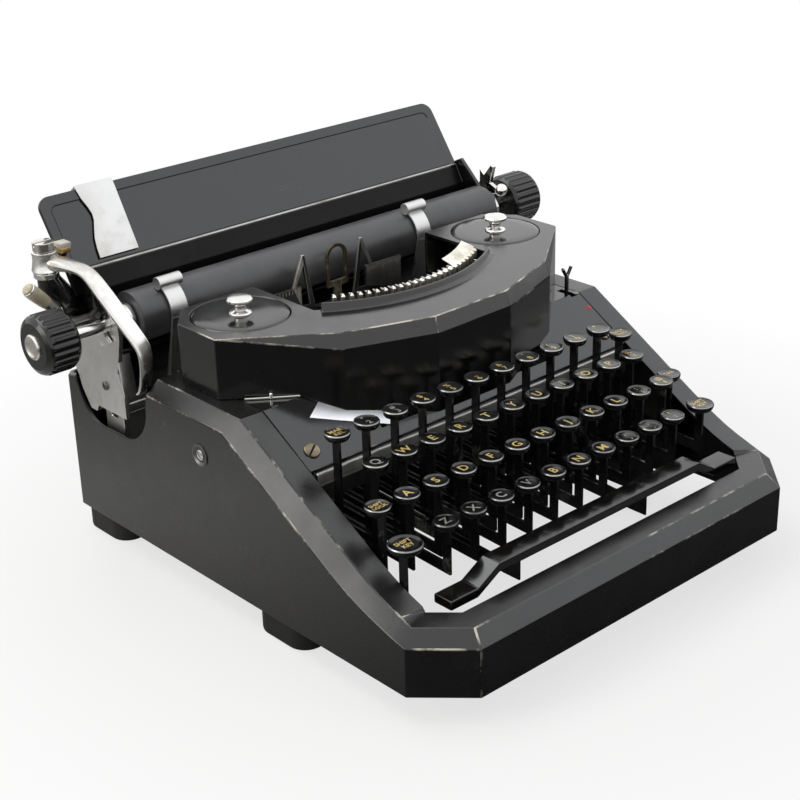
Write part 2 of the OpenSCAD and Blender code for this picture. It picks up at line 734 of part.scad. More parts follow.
module mainspring_drum() {
    color(steel) translate([drum_x, drum_y, drum_z]) rotate([90, 0, 0]) difference() {
        union() {
            cylinder(r = drum_r, h = 2);
            cylinder(r = drum_r - 1.5, h = drum_w - 2);
            translate([0, 0, drum_w - 2]) cylinder(r = drum_r, h = 2);
        }
        translate([0, 0, -1]) cylinder(r = spindle_r + turn_fit, h = drum_w + 2);
    }
}

module margin_bell() {
    thick = 1.4;
    depth = 11;
    color(bright) translate([bell_x, beam_y - 10, drum_z]) rotate([90, 0, 0]) rotate_extrude() polygon([
        [0, 0], [bell_r * 0.6, 0], [bell_r * 0.9, depth * 0.35], [bell_r, depth], [bell_r - thick, depth],
        [bell_r * 0.9 - thick, depth * 0.35 + thick], [bell_r * 0.6 - thick / 2, thick], [0, thick]]);
}

// Outline of an end plate, from the carriage bar up to the platen shaft
module end_plate_outline() {
    eye = 10;
    p = ay(platen_y);
    polygon([[finger_rod_y - 4, bar_under_z], [ay(rail_back_y) + 2, bar_under_z], [p + 20, bar_under_z - 4],
        [p + 26, bar_under_z - 4], [p + 33, bar_under_z + 6], [p + 36, bar_under_z + 14],
        [p + 42, bar_under_z + 24], [p + 42, bar_under_z + 30], [p + 36, platen_z - 13],
        [p + 24, platen_z + 1], [p + 14, platen_z + 9],
        [p - 6, platen_z + 8], [p - eye, platen_z + 2], [p - eye, platen_z - 7],
        [p - 5, bar_under_z + 26], [finger_rod_y - 4, bar_under_z + 13]]);
}

module carriage_frame() {
    casting_x = left_end - end_t;
    cup_r = 8.6;
    color(steel) {
        difference() {
            union() {
                translate([left_end - end_t / 2, 0]) across(end_t) end_plate_outline();
                translate([right_end + end_t / 2, 0]) across(end_t) end_plate_outline();
                block([left_end - 1, carriage_bar_y[0], bar_under_z],
                      [right_end + 1, carriage_bar_y[1], bar_under_z + carriage_bar_h]);
            }
            bar_x(left_end - 10, right_end + 10, ay(platen_y), platen_z, shaft_r + turn_fit);
        }
        hull() {
            block([casting_x - 8, ay(platen_y) + 18, platen_z - 8],
                  [casting_x + 1, ay(platen_y) + 29, platen_z + 1]);
            translate([post_x + 8, ay(post_y), seat_z - 20]) cylinder(r = cup_r, h = 4);
            translate([post_x, ay(post_y), seat_z - 9]) cylinder(r = hub_r - 1.6, h = 8);
        }
        translate([post_x, ay(post_y), seat_z - 3]) cylinder(r = hub_r, h = 3);
        bar_x(left_end - 1, right_end + 1, finger_rod_y, finger_rod_z, finger_rod_r);
        translate([post_x, ay(post_y), seat_z - 1]) cylinder(r = post_r, h = hub_h + 2 * lie_gap + 2);
        translate([post_x, ay(post_y), seat_z + hub_h + 2 * lie_gap]) difference() {
            cylinder(r = hub_r - 1, h = head_h);
            block([-hub_r, -0.7, head_h - 2], [hub_r, 0.7, head_h + 1]);
        }
    }
}

module platen() {
    color(rubber) difference() {
        bar_x(platen_left, platen_right, ay(platen_y), platen_z, platen_r);
        bar_x(platen_left - 1, platen_right + 1, ay(platen_y), platen_z, shaft_r);
    }
}

module platen_shaft() {
    color(steel) {
        bar_x(cap_t - knob_end, knob_end - cap_t, ay(platen_y), platen_z, shaft_r);
        bar_x(platen_left - 6, platen_left - 1, ay(platen_y), platen_z, ratchet_r);
    }
}

// A ribbed platen knob, closed at its outer face at x = 0, its body towards +X
module platen_knob(w) {
    rib_depth = 0.9;
    color(black) rotate([0, 90, 0]) difference() {
        rotate_extrude() polygon([[0, 0], [knob_r - 4, 0], [knob_r - 1.2, 1.6], [knob_r, 4],
            [knob_r, w - 3], [knob_r - 2, w], [knob_bore_r, w], [knob_bore_r, cap_t], [0, cap_t]]);
        for (k = [0 : knob_ribs - 1]) rotate([0, 0, 360 * k / knob_ribs])
            translate([knob_r + 0.6, 0, 3]) cylinder(r = rib_depth + 0.6, h = w + 2, $fn = 20);
    }
}
module platen_knob_left() { translate([-knob_end, ay(platen_y), platen_z]) platen_knob(knob_w); }
module platen_knob_right() {
    translate([knob_end, ay(platen_y), platen_z]) mirror([1, 0, 0]) platen_knob(knob_end - right_knob_in);
}

// Places on the table: along its face from the crease, and out from its face
table_dir = let (v = [ay(table_top_y) - ay(crease_y), table_top_z - crease_z]) v / norm(v);
table_out = [-table_dir[1], table_dir[0]];
function on_table(along, out) = [ay(crease_y), crease_z] + table_dir * along + table_out * out;
table_len = norm([ay(table_top_y) - ay(crease_y), table_top_z - crease_z]);
apron_low = [ay(crease_y) - 6.3, crease_z - 10.6];
frame_rise = 0.6;

// The table's face, its top corners rounded, drawn in (X, along)
module table_face(inset) {
    r = table_corner_r - inset / 2;
    x0 = table_left + inset;
    x1 = table_right - inset;
    top = table_len - inset;
    foot = inset / 4;
    translate([x0, foot]) square([x1 - x0, top - foot - r]);
    translate([x0 + r, foot]) square([x1 - x0 - 2 * r, top - foot]);
    for (x = [x0 + r, x1 - r]) translate([x, top - r]) circle(r);
}

// A slab of the table between two levels over its face
module table_slab(low, high, inset) {
    translate([0, ay(crease_y), crease_z]) rotate([atan2(table_dir[1], table_dir[0]), 0, 0])
        translate([0, 0, low]) linear_extrude(high - low) table_face(inset);
}

module paper_table() {
    frame_w = 6;
    rib_xs = [platen_left + 16, platen_right - 35];
    trough_r = platen_r + 1.5;
    trough_mid = (left_end + right_end) / 2;
    trough_w = right_end - left_end - 2;
    mid = (table_left + table_right) / 2;
    color(black) {
        difference() {
            table_slab(-table_t, frame_rise, 0);
            table_slab(0, frame_rise + 1, frame_w);
        }
        translate([mid, 0]) across(table_right - table_left) polygon([
            on_table(1, 0), on_table(1, -table_t), on_table(-0.6, -table_t * 1.1), apron_low + [table_t, 0],
            apron_low, on_table(0, 0)]);
        translate([trough_mid, 0]) across(trough_w) {
            intersection() {
                translate([ay(platen_y), platen_z]) difference() {
                    circle(trough_r + table_t);
                    circle(trough_r);
                }
                polygon([[ay(platen_y), platen_z], [ay(platen_y) - 10, platen_z - 25],
                         [ay(platen_y) + 40, platen_z - 25], [ay(platen_y) + 40, platen_z + 12]]);
            }
            polygon([[carriage_bar_y[1] - table_t, bar_under_z + carriage_bar_h],
                     [carriage_bar_y[1], bar_under_z + carriage_bar_h],
                     [ay(platen_y) + trough_r + table_t, platen_z], [ay(platen_y) + trough_r, platen_z]]);
            polygon([apron_low, apron_low + [table_t, 0], [ay(platen_y) + trough_r + table_t, platen_z],
                     [ay(platen_y) + trough_r, platen_z]]);
        }
        for (x = rib_xs) translate([x, 0]) across(3) polygon([
            [carriage_bar_y[1] - 7, bar_under_z + carriage_bar_h],
            [carriage_bar_y[1], bar_under_z + carriage_bar_h], [ay(crease_y) + 1.5, crease_z - 42],
            on_table(22, -table_t / 2), on_table(2, -table_t / 2),
            [ay(crease_y) - 3.5, crease_z - 14], [ay(crease_y) - 4, crease_z - 42]]);
    }
}

// Bright clip that slides along the table, over its face and its top edge
module paper_guide() {
    low = 4;
    rise = frame_rise + lie_gap;
    top = table_len + lie_gap;
    hook = table_t + 0.4;
    color(bright) translate([guide_x, 0]) across(guide_w) polygon([
        on_table(low, rise), on_table(low, rise + guide_t), on_table(top + guide_t, rise + guide_t),
        on_table(top + guide_t, -hook), on_table(top, -hook), on_table(top, rise)]);
}

finger_in_r = platen_r + 1;
finger_out_r = platen_r + 2.2;
// A spring strip round the front of the platen, with a small roller at its top and a foot on the front rod
module paper_finger(x) {
    w = 11;
    roller_r = 3.6;
    roller_at = platen_r + roller_r + lie_gap;
    y = ay(platen_y);
    roller_angle = 112;
    foot = 3.2;
    color(bright) {
        difference() {
            translate([x, 0]) across(w) {
                intersection() {
                    translate([ay(platen_y), platen_z]) difference() {
                        circle(finger_out_r);
                        circle(finger_in_r);
                    }
                    polygon([[y, platen_z], [y - 6, platen_z + 40], [y - 50, platen_z + 40],
                             [y - 50, platen_z - 2]]);
                }
                polygon([[y - finger_out_r, platen_z], [y - finger_in_r, platen_z],
                         [finger_rod_y + 1, finger_rod_z + foot],
                         [finger_rod_y - 2, finger_rod_z + foot - 2]]);
                translate([finger_rod_y, finger_rod_z]) circle(foot);
            }
            bar_x(x - w, x + w, finger_rod_y, finger_rod_z, finger_rod_r + turn_fit);
        }
        bar_x(x - w / 2 - 2, x + w / 2 + 2, ay(platen_y) + roller_at * cos(roller_angle),
              platen_z + roller_at * sin(roller_angle), roller_r);
    }
}
module paper_finger_left() { paper_finger(-102); }
module paper_finger_right() { paper_finger(78); }

lever_elbow = [post_x + 13, ay(111.5), seat_z + lie_gap];
lever_bend = [post_x + 24, ay(76.8), platen_z - 9];
lever_tip = [post_x + 21, ay(76.8), platen_z - 32.5];
strap_fall = atan2(lever_elbow[2] - lever_bend[2], lever_elbow[1] - lever_bend[1]);
// A thin slice of the strap, tilted in the plane of Y and Z
module slice(p, w, tilt) {
    translate(p) rotate([tilt, 0, 0]) cube([w, 0.4, strap_t], center = true);
}

// Arm from the post, strap forwards and down past the platen's end, then the finger piece
module return_lever() {
    arm = [lever_elbow[0] - post_x, lever_elbow[1] - ay(post_y)];
    color(bright) {
        difference() {
            translate([post_x, ay(post_y), seat_z + lie_gap]) {
                cylinder(r = hub_r, h = hub_h);
                rotate([0, 0, atan2(arm[1], arm[0])])
                    block([0, -strap_w / 2, 0], [norm(arm), strap_w / 2, strap_t]);
                translate(arm) cylinder(r = strap_w / 2 + 0.4, h = strap_t);
            }
            translate([post_x, ay(post_y), seat_z - 1]) cylinder(r = post_r + turn_fit, h = hub_h + 4);
        }
        hull() {
            slice(lever_elbow + [0, 0, strap_t / 2], strap_w - 0.6, strap_fall);
            slice(lever_bend, strap_w - 2, strap_fall);
        }
        hull() {
            slice(lever_bend + [0, 0, 0.6], strap_w - 2.6, 90);
            slice(lever_tip, strap_w - 4, 90);
        }
    }
}

release_pivot = [ay(platen_y) + 13, platen_z + 2];
// Crank on the left end plate with a cream tip
module paper_release() {
    arm_x = -158;
    root = [ay(platen_y) + 14.5, platen_z + 9];
    tip_len = 23;
    tip_rise = 46;
    color(cream) {
        translate([arm_x, 0]) across(2.4) {
            translate(release_pivot) circle(4);
            translate(root) circle(3);
            polygon([release_pivot + [-3.6, 0], release_pivot + [3.6, 0],
                     root + [2.8, 0], root + [-2.8, 0]]);
        }
        translate([arm_x, root[0], root[1]]) rotate([0, -90 + tip_rise, 0])
            cylinder(r1 = 3, r2 = 3.8, h = tip_len);
        bar_x(arm_x, left_end - end_t - lie_gap, release_pivot[0], release_pivot[1], 2);
    }
}

// Nickel lever at the right end with a fork and a ball
module carriage_release() {
    x0 = right_end + end_t + lie_gap;
    color(steel) {
        translate([x0 + 1.5, ay(platen_y), platen_z]) across(3) polygon([
            [8, 3], [15, 4], [8, 15], [8, 23], [4, 20],
            [-2, 27], [-4, 26], [-1, 15], [-6, 13], [-8, 10]]);
        translate([x0 + 1.5, ay(platen_y) - 10, platen_z + 12]) sphere(4);
        bar_x(x0, x0 + 7, ay(platen_y) + 11, platen_z + 6, 4);
    }
}

body_shell();
rubber_feet();
chassis();
deck_plate();
ribbon_cover();
spool_lid_left();
spool_lid_right();
ribbon_spool_left();
ribbon_spool_right();
type_segment();
type_bars();
ribbon_vibrator();
line_scale();
ribbon_selector();
key_rod();
number_keys();
symbol_keys();
shift_keys();
space_bar();
carriage_rail();
mainspring_drum();
margin_bell();
carriage_frame();
platen();
platen_shaft();
platen_knob_left();
platen_knob_right();
paper_table();
paper_guide();
paper_finger_left();
paper_finger_right();
return_lever();
paper_release();
carriage_release();
for (k = [0 : 2]) for (i = [0 : len(letters[k]) - 1])
    row_key(letter_rows[k], i);
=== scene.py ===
import math

import bpy
from mathutils import Matrix, Vector


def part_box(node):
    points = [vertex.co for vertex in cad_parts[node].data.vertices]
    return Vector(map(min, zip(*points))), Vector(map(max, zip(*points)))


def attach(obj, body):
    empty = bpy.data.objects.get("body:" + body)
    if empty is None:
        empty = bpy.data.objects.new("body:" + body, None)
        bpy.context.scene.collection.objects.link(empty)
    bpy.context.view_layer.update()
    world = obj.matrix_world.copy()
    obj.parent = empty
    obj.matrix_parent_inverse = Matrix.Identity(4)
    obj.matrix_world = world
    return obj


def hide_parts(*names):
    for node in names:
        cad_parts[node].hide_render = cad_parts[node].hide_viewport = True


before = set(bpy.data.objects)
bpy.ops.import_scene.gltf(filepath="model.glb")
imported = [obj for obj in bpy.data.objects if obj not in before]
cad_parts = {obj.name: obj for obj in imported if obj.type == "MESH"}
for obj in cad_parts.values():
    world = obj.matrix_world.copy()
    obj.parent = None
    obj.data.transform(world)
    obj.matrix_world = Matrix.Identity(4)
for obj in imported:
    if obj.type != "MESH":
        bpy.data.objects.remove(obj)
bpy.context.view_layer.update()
bpy.context.scene.view_settings.view_transform = "Standard"
mm = 0.001

# The photographer's camera, a long lens in front of the machine's left corner,
# a little above the keyboard. Its place was fitted to the key pitch and the shell.
azimuth = math.radians(-41.75)
elevation = math.radians(24.06)
roll = math.radians(-1.58)
target = Vector((0.00087, 0.02758, 0.07246))
distance = 0.92917
image_width = 800
focal_pixels = 1637.2
camera = bpy.data.objects.new("camera", bpy.data.cameras.new("camera"))
bpy.context.scene.collection.objects.link(camera)
camera.data.sensor_width = 36
camera.data.lens = camera.data.sensor_width * focal_pixels / image_width
camera.data.clip_start = 0.01
backward = Vector((
    math.sin(azimuth) * math.cos(elevation),
    -math.cos(azimuth) * math.cos(elevation),
    math.sin(elevation),
))
level = Vector((math.cos(azimuth), math.sin(azimuth), 0))
upright = backward.cross(level)
right = math.cos(roll) * level + math.sin(roll) * upright
up = -math.sin(roll) * level + math.cos(roll) * upright
place = target + backward * distance
camera.matrix_world = Matrix((
    (right.x, up.x, backward.x, place.x),
    (right.y, up.y, backward.y, place.y),
    (right.z, up.z, backward.z, place.z),
    (0, 0, 0, 1),
))
bpy.context.scene.camera = camera

# The studio: a white room that the camera and the polished parts see as white,
# with a weaker even light of its own on everything else.


def add_node(tree, kind, **values):
    """Adds a node and sets its inputs by their names, with _ for a space."""
    made = tree.nodes.new(kind)
    for name, value in values.items():
        made.inputs[name.replace("_", " ")].default_value = value
    return made


def feed(tree, value, socket):
    """Sets a socket to a number, or links another socket to it."""
    if isinstance(value, float):
        socket.default_value = value
    else:
        tree.links.new(value, socket)


def combine(tree, operation, *values):
    """Works out numbers and sockets by one operation and gives the result's socket."""
    made = add_node(tree, "ShaderNodeMath")
    made.operation = operation
    for value, socket in zip(values, made.inputs):
        feed(tree, value, socket)
    return made.outputs[0]


def spread(tree, value, low, high, start=0.0, end=1.0):
    """Spreads a value that lies between start and end over the range low to high."""
    made = add_node(tree, "ShaderNodeMapRange")
    limits = {"Value": value, "From Min": start, "From Max": end, "To Min": low, "To Max": high}
    for label, limit in limits.items():
        feed(tree, limit, made.inputs[label])
    return made.outputs["Result"]


white_room = bpy.data.worlds.new("white_room")
bpy.context.scene.world = white_room
white_room.use_nodes = True
room = white_room.node_tree
even_light, mirror_gain = 0.42, 1.5
seen_by = add_node(room, "ShaderNodeLightPath")
mirrored = combine(room, "MULTIPLY", seen_by.outputs["Is Glossy Ray"], mirror_gain)
seen = combine(room, "MAXIMUM", seen_by.outputs["Is Camera Ray"], mirrored)
room_level = spread(room, seen, even_light, 1.0)
room_level.node.clamp = False
room.nodes["Background"].inputs["Color"].default_value = (1, 1, 1, 1)
room.links.new(room_level, room.nodes["Background"].inputs["Strength"])

# Three soft boxes: a large one overhead and behind on the left, one low on the left for
# the side wall, and one high in front on the right that the sloping faces mirror.
for name, spot, aim, size, watts, tint in (
    ("soft_box_above", (-0.35, 0.58, 1.5), (0, 0.05, 0.1), (1.3, 1.0), 11, (0.96, 0.98, 1.0)),
    ("soft_box_left", (-1.5, 0.5, 0.8), (-0.1, 0, 0.08), (0.9, 0.7), 7, (1.0, 0.985, 0.95)),
    ("soft_box_right", (0.95, -0.40, 1.15), (-0.05, -0.05, 0.1), (1.5, 1.2), 2.6, (0.82, 0.91, 1.0)),
):
    lamp = bpy.data.objects.new(name, bpy.data.lights.new(name, "AREA"))
    bpy.context.scene.collection.objects.link(lamp)
    lamp.data.shape = "RECTANGLE"
    lamp.data.size, lamp.data.size_y = size
    lamp.data.energy = watts
    lamp.data.color = tint
    lamp.location = spot
    lamp.visible_camera = False
    lamp.rotation_euler = (Vector(aim) - Vector(spot)).to_track_quat("-Z", "Y").to_euler()

# The table top it stands on: a large matt white sheet that keeps the machine's shadow and
# runs out to white. To all rays but the camera's, its colour is painted dark in front of the machine and further out,
# as painted shade that the machine's faces mirror.


def mix_colours(tree, factor, a, b):
    """Mixes two colours or colour sockets by a factor socket and gives the mixed socket."""
    mixed = tree.nodes.new("ShaderNodeMix")
    mixed.data_type = "RGBA"
    tree.links.new(factor, mixed.inputs[0])
    for place, colour in ((6, a), (7, b)):
        if isinstance(colour, tuple):
            mixed.inputs[place].default_value = (*colour, 1)
        else:
            tree.links.new(colour, mixed.inputs[place])
    return mixed.outputs[2]


bpy.ops.object.select_all(action="DESELECT")
bpy.ops.mesh.primitive_grid_add(x_subdivisions=4, y_subdivisions=4, size=8, location=(0, 0, 0))
table_top = bpy.context.active_object
table_top.name = "table_top"
sheet_white = bpy.data.materials.new("sheet_white")
sheet_white.use_nodes = True
tree = sheet_white.node_tree
tree.nodes.clear()
to_camera = add_node(tree, "ShaderNodeLightPath").outputs["Is Camera Ray"]
on_table = add_node(tree, "ShaderNodeTexCoord").outputs["Object"]
ways = add_node(tree, "ShaderNodeSeparateXYZ")
tree.links.new(on_table, ways.inputs[0])
from_middle = add_node(tree, "ShaderNodeVectorMath")
from_middle.operation = "LENGTH"
tree.links.new(on_table, from_middle.inputs[0])
away = from_middle.outputs["Value"]
# Painted shade: the dark colour that rays other than the camera's see in front of the machine and far out.
painted_shade_front, pale_sheet = (0.11, 0.11, 0.11), (0.80, 0.79, 0.765)
behind = spread(tree, ways.outputs["Y"], 0.0, 1.0, -0.16, 0.07)
close_by = spread(tree, away, 1.0, 0.35, 0.27, 0.40)
pale = combine(tree, "MAXIMUM", combine(tree, "MULTIPLY", behind, close_by), to_camera)
matt = add_node(tree, "ShaderNodeBsdfDiffuse")
tree.links.new(mix_colours(tree, pale, painted_shade_front, pale_sheet), matt.inputs["Color"])
glow = add_node(tree, "ShaderNodeEmission", Color=(1, 1, 1, 1), Strength=1.0)
runs_out = spread(tree, away, 0.70, 1.0, 0.18, 0.40)
blend_white = add_node(tree, "ShaderNodeMixShader")
tree.links.new(combine(tree, "MULTIPLY", to_camera, runs_out), blend_white.inputs[0])
tree.links.new(matt.outputs[0], blend_white.inputs[1])
tree.links.new(glow.outputs[0], blend_white.inputs[2])
surface = add_node(tree, "ShaderNodeOutputMaterial")
tree.links.new(blend_white.outputs[0], surface.inputs["Surface"])
table_top.data.materials.append(sheet_white)

# Body shell: the black enamelled sheet housing with its bevelled rim and the cut for the
# carriage in each side. The pressed sheet's edges are a little round, and where hands and
# the carrying case rubbed them the enamel is worn through to bright metal.


def new_group(name, inputs):
    """Starts an effect that materials share: gives it, its inputs, the place and its mask."""
    group = bpy.data.node_groups.new(name, "ShaderNodeTree")
    for label in inputs:
        group.interface.new_socket(name=label, in_out="INPUT", socket_type="NodeSocketFloat")
    group.interface.new_socket(name="Mask", in_out="OUTPUT", socket_type="NodeSocketFloat")
    given, result = group.nodes.new("NodeGroupInput"), group.nodes.new("NodeGroupOutput")
    place = add_node(group, "ShaderNodeTexCoord").outputs["Object"]
    return group, given.outputs, place, result.inputs["Mask"]


def noise(group, place, scale, **values):
    """Soft noise over a place, and its socket."""
    made = add_node(group, "ShaderNodeTexNoise", **values)
    group.links.new(place, made.inputs["Vector"])
    feed(group, scale, made.inputs["Scale"])
    return made.outputs[0]


# Clouded gloss, as of old enamel, plate and rubber: soft patches
clouding, given, place, mask = new_group("clouding", ("Scale", "Detail"))
cloud = noise(clouding, place, given["Scale"], Roughness=0.55)
clouding.links.new(given["Detail"], cloud.node.inputs["Detail"])
clouding.links.new(spread(clouding, cloud, 0.0, 1.0, 0.3, 0.7), mask)

# Fine handling scratches: thin bent lines in two directions, only in some places
scratching, given, place, mask = new_group("scratching", ("Scale", "Width", "Amount"))
lines = []
for turn, stretch in (((0.5, 0.2, 0.9), (1, 7, 3)), ((1.2, 0.7, -0.5), (6, 1, 2.5))):
    turned_place = add_node(scratching, "ShaderNodeMapping", Rotation=turn, Scale=stretch)
    scratching.links.new(place, turned_place.inputs["Vector"])
    streak = noise(scratching, turned_place.outputs[0], given["Scale"], Detail=2.0, Roughness=0.4)
    off_middle = combine(scratching, "ABSOLUTE", combine(scratching, "SUBTRACT", streak, 0.5))
    lines.append(spread(scratching, off_middle, 1.0, 0.0, 0.0, given["Width"]))
handled = spread(scratching, noise(scratching, place, 38.0, Detail=3.0), 0.0, 1.0, 0.52, 0.68)
in_places = combine(scratching, "MULTIPLY", combine(scratching, "MAXIMUM", *lines), handled)
scratching.links.new(combine(scratching, "MULTIPLY", in_places, given["Amount"]), mask)

# Dust and chips: small spots, each of its own size, few to the square centimetre
specks, given, place, mask = new_group("specks", ("Scale", "Size"))
grains = add_node(specks, "ShaderNodeTexVoronoi")
specks.links.new(place, grains.inputs["Vector"])
specks.links.new(given["Scale"], grains.inputs["Scale"])
own_size = combine(specks, "MULTIPLY", grains.outputs["Color"], given["Size"])
specks.links.new(combine(specks, "LESS_THAN", grains.outputs["Distance"], own_size), mask)

# Wear along an edge: longer and shorter stretches of bare metal with ragged ends
edge_wear, given, place, mask = new_group("edge_wear", ("Scale", "Bare from", "Bare to"))
ragged = noise(edge_wear, place, given["Scale"], Detail=5.0, Roughness=0.65)
wide_scale = combine(edge_wear, "MULTIPLY", given["Scale"], 0.17)
stretches = noise(edge_wear, place, wide_scale, Detail=1.0)
both = combine(edge_wear, "ADD", ragged, stretches)
bare = spread(edge_wear, both, 0.0, 1.0, given["Bare from"], given["Bare to"])
edge_wear.links.new(bare, mask)


def effect(tree, group, **values):
    """Puts a shared effect in a material with its own values and gives its mask."""
    placed = tree.nodes.new("ShaderNodeGroup")
    placed.node_tree = group
    for name, value in values.items():
        placed.inputs[name.replace("_", " ")].default_value = value
    return placed.outputs["Mask"]


def new_finish(name):
    """Starts a material and gives it with its node tree and its shader."""
    material = bpy.data.materials.new(name)
    material.use_nodes = True
    return material, material.node_tree, material.node_tree.nodes["Principled BSDF"]


def uneven(tree, shader, height, strength, depth):
    """Makes a surface uneven by a mask."""
    bump = add_node(tree, "ShaderNodeBump", Strength=strength, Distance=depth)
    tree.links.new(height, bump.inputs["Height"])
    tree.links.new(bump.outputs["Normal"], shader.inputs["Normal"])


def stoved_enamel(name, worn_from, worn_to, dust_size, dull=0.0):
    """Black enamel with clouded gloss, scratches and dust, and bare metal past a wear limit."""
    material, tree, shader = new_finish(name)
    black, brown_black = (0.0028, 0.0028, 0.0030), (0.0075, 0.0066, 0.0058)
    scratch_grey, dust_grey, bare_metal = (0.10, 0.098, 0.095), (0.12, 0.11, 0.095), (0.60, 0.56, 0.47)
    cloud = effect(tree, clouding, Scale=14.0, Detail=3.0)
    smear = effect(tree, clouding, Scale=60.0, Detail=5.0)
    scratch = effect(tree, scratching, Scale=26.0, Width=0.004, Amount=0.32)
    dust = effect(tree, specks, Scale=330.0, Size=dust_size)
    bare = effect(tree, edge_wear, Scale=75.0, Bare_from=worn_from, Bare_to=worn_to)
    colour = mix_colours(tree, cloud, black, brown_black)
    colour = mix_colours(tree, scratch, colour, scratch_grey)
    colour = mix_colours(tree, dust, colour, dust_grey)
    tree.links.new(mix_colours(tree, bare, colour, bare_metal), shader.inputs["Base Color"])
    tree.links.new(spread(tree, bare, 0.0, 0.35), shader.inputs["Metallic"])
    rough = combine(tree, "ADD", spread(tree, smear, 0.07 + dull, 0.17 + dull), spread(tree, bare, 0.0, 0.2))
    tree.links.new(rough, shader.inputs["Roughness"])
    shader.inputs["IOR"].default_value = 1.58
    uneven(tree, shader, effect(tree, clouding, Scale=28.0, Detail=2.0), 0.10, 0.0003)
    return material


black_enamel = stoved_enamel("black_enamel", 1.42, 1.50, 0.075)
housing_enamel = stoved_enamel("housing_enamel", 1.42, 1.50, 0.075, 0.17)
worn_enamel_edge = stoved_enamel("worn_enamel_edge", 0.96, 1.14, 0.0)
rubbed_edge = stoved_enamel("rubbed_edge", 1.08, 1.30, 0.0)


def select_only(piece):
    """Makes a piece the only one selected, and the active one."""
    bpy.ops.object.select_all(action="DESELECT")
    piece.select_set(True)
    bpy.context.view_layer.objects.active = piece


def finish_piece(piece, body, slot, *nodes):
    """Fixes a piece to a body and hides the CAD nodes it stands for. The slot is not used."""
    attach(piece, body)
    if nodes:
        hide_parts(*nodes)
    return piece


def rounded_copy(node, name, radius, finish, edge_finish, limit=24, segments=2, worn=None, smooth=32):
    """A merged copy of a CAD piece, its sharp edges rounded and given the edge finish where worn."""
    piece = bpy.data.objects.new(name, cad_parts[node].data.copy())
    bpy.context.scene.collection.objects.link(piece)
    select_only(piece)
    piece.data.materials.clear()
    piece.data.materials.append(finish)
    piece.data.materials.append(edge_finish)
    bpy.ops.mesh.customdata_custom_splitnormals_clear()
    bpy.ops.object.mode_set(mode="EDIT")
    bpy.ops.mesh.select_all(action="SELECT")
    bpy.ops.mesh.remove_doubles(threshold=1e-5)
    bpy.ops.mesh.dissolve_limited(angle_limit=math.radians(0.8))
    bpy.ops.object.mode_set(mode="OBJECT")
    for face in piece.data.polygons:
        face.material_index = 0
    rounding = piece.modifiers.new("rounding", "BEVEL")
    rounding.width = radius
    rounding.segments = segments
    rounding.limit_method = "ANGLE"
    rounding.angle_limit = math.radians(limit)
    rounding.material = 1
    rounding.use_clamp_overlap = False
    bpy.ops.object.modifier_apply(modifier=rounding.name)
    bpy.ops.object.shade_smooth_by_angle(angle=math.radians(smooth))
    flats = piece.modifiers.new("flats", "WEIGHTED_NORMAL")
    flats.keep_sharp = True
    bpy.ops.object.modifier_apply(modifier=flats.name)
    if worn:
        for face in piece.data.polygons:
            if face.material_index == 1 and not worn(face.center * 1000):
                face.material_index = 0
    return piece


def outer_edge(spot):
    """The housing's outer edges, that hands and the case rub: not the inner lip or the base."""
    half_width, half_depth, rim = 139.5, 153, 15
    from_outside = min(half_width - abs(spot.x), spot.y + half_depth)
    off_base = spot.z > 36 or (spot.z > 18 and spot.x > -125)
    return from_outside < rim and spot.y < 60 and off_base


shell = rounded_copy("body_shell", "shell_housing", 0.0006, housing_enamel, worn_enamel_edge, worn=outer_edge)
for face in shell.data.polygons:
    front_left = face.center.y < -0.125 and face.center.x < -0.09
    if face.material_index == 1 and not front_left:
        face.material_index = 2
shell.data.materials.append(rubbed_edge)
finish_piece(shell, "frame", "black_enamel", "body_shell")

# Side screws: a slotted screw deep in a dished washer on each side of the shell, which
# holds the housing to the frame inside. Blued steel, polished by the screwdriver.


def slotted(piece, depth, width):
    """Cuts a screwdriver slot across the top of a turned piece that stands on Z."""
    top = max(v.co.z for v in piece.data.vertices)
    reach = max(v.co.x for v in piece.data.vertices)
    bpy.ops.object.select_all(action="DESELECT")
    bpy.ops.mesh.primitive_cube_add(size=1, location=(0, 0, top))
    cutter = bpy.context.active_object
    cutter.scale = (3 * reach, width, 2 * depth)
    cut = piece.modifiers.new("slot", "BOOLEAN")
    cut.object = cutter
    cut.solver = "EXACT"
    select_only(piece)
    bpy.ops.object.modifier_apply(modifier=cut.name)
    bpy.data.objects.remove(cutter)
    piece.data.materials.append(slot_dirt)
    for face in piece.data.polygons:
        if abs(face.center.y) < 0.501 * width and face.center.z > top - 1.01 * depth:
            face.material_index = 1


def turned(name, profile, finish, steps=40):
    """Turns an outline of (radius, height) points in mm about Z, as on a lathe."""
    mesh = bpy.data.meshes.new(name)
    outline = [(r * mm, 0, z * mm) for r, z in profile]
    mesh.from_pydata(outline, [(k, k + 1) for k in range(len(outline) - 1)], [])
    piece = bpy.data.objects.new(name, mesh)
    bpy.context.scene.collection.objects.link(piece)
    select_only(piece)
    bpy.ops.object.mode_set(mode="EDIT")
    bpy.ops.mesh.select_all(action="SELECT")
    bpy.ops.mesh.spin(steps=steps, angle=2 * math.pi, center=(0, 0, 0), axis=(0, 0, 1))
    bpy.ops.mesh.select_all(action="SELECT")
    bpy.ops.mesh.remove_doubles(threshold=1e-6)
    bpy.ops.mesh.normals_make_consistent(inside=False)
    bpy.ops.object.mode_set(mode="OBJECT")
    piece.data.materials.append(finish)
    bpy.ops.object.shade_smooth_by_angle(angle=math.radians(30))
    return piece


def put(piece, spot, tilt=None):
    """Turns a piece that was made at the origin, moves it to its place and applies both."""
    piece.data.transform(Matrix.Translation(Vector(spot)) @ (tilt or Matrix.Identity(4)))
    return piece


def copy_of(piece, name):
    """A copy of a piece with its own mesh."""
    twin = bpy.data.objects.new(name, piece.data.copy())
    bpy.context.scene.collection.objects.link(twin)
    return twin


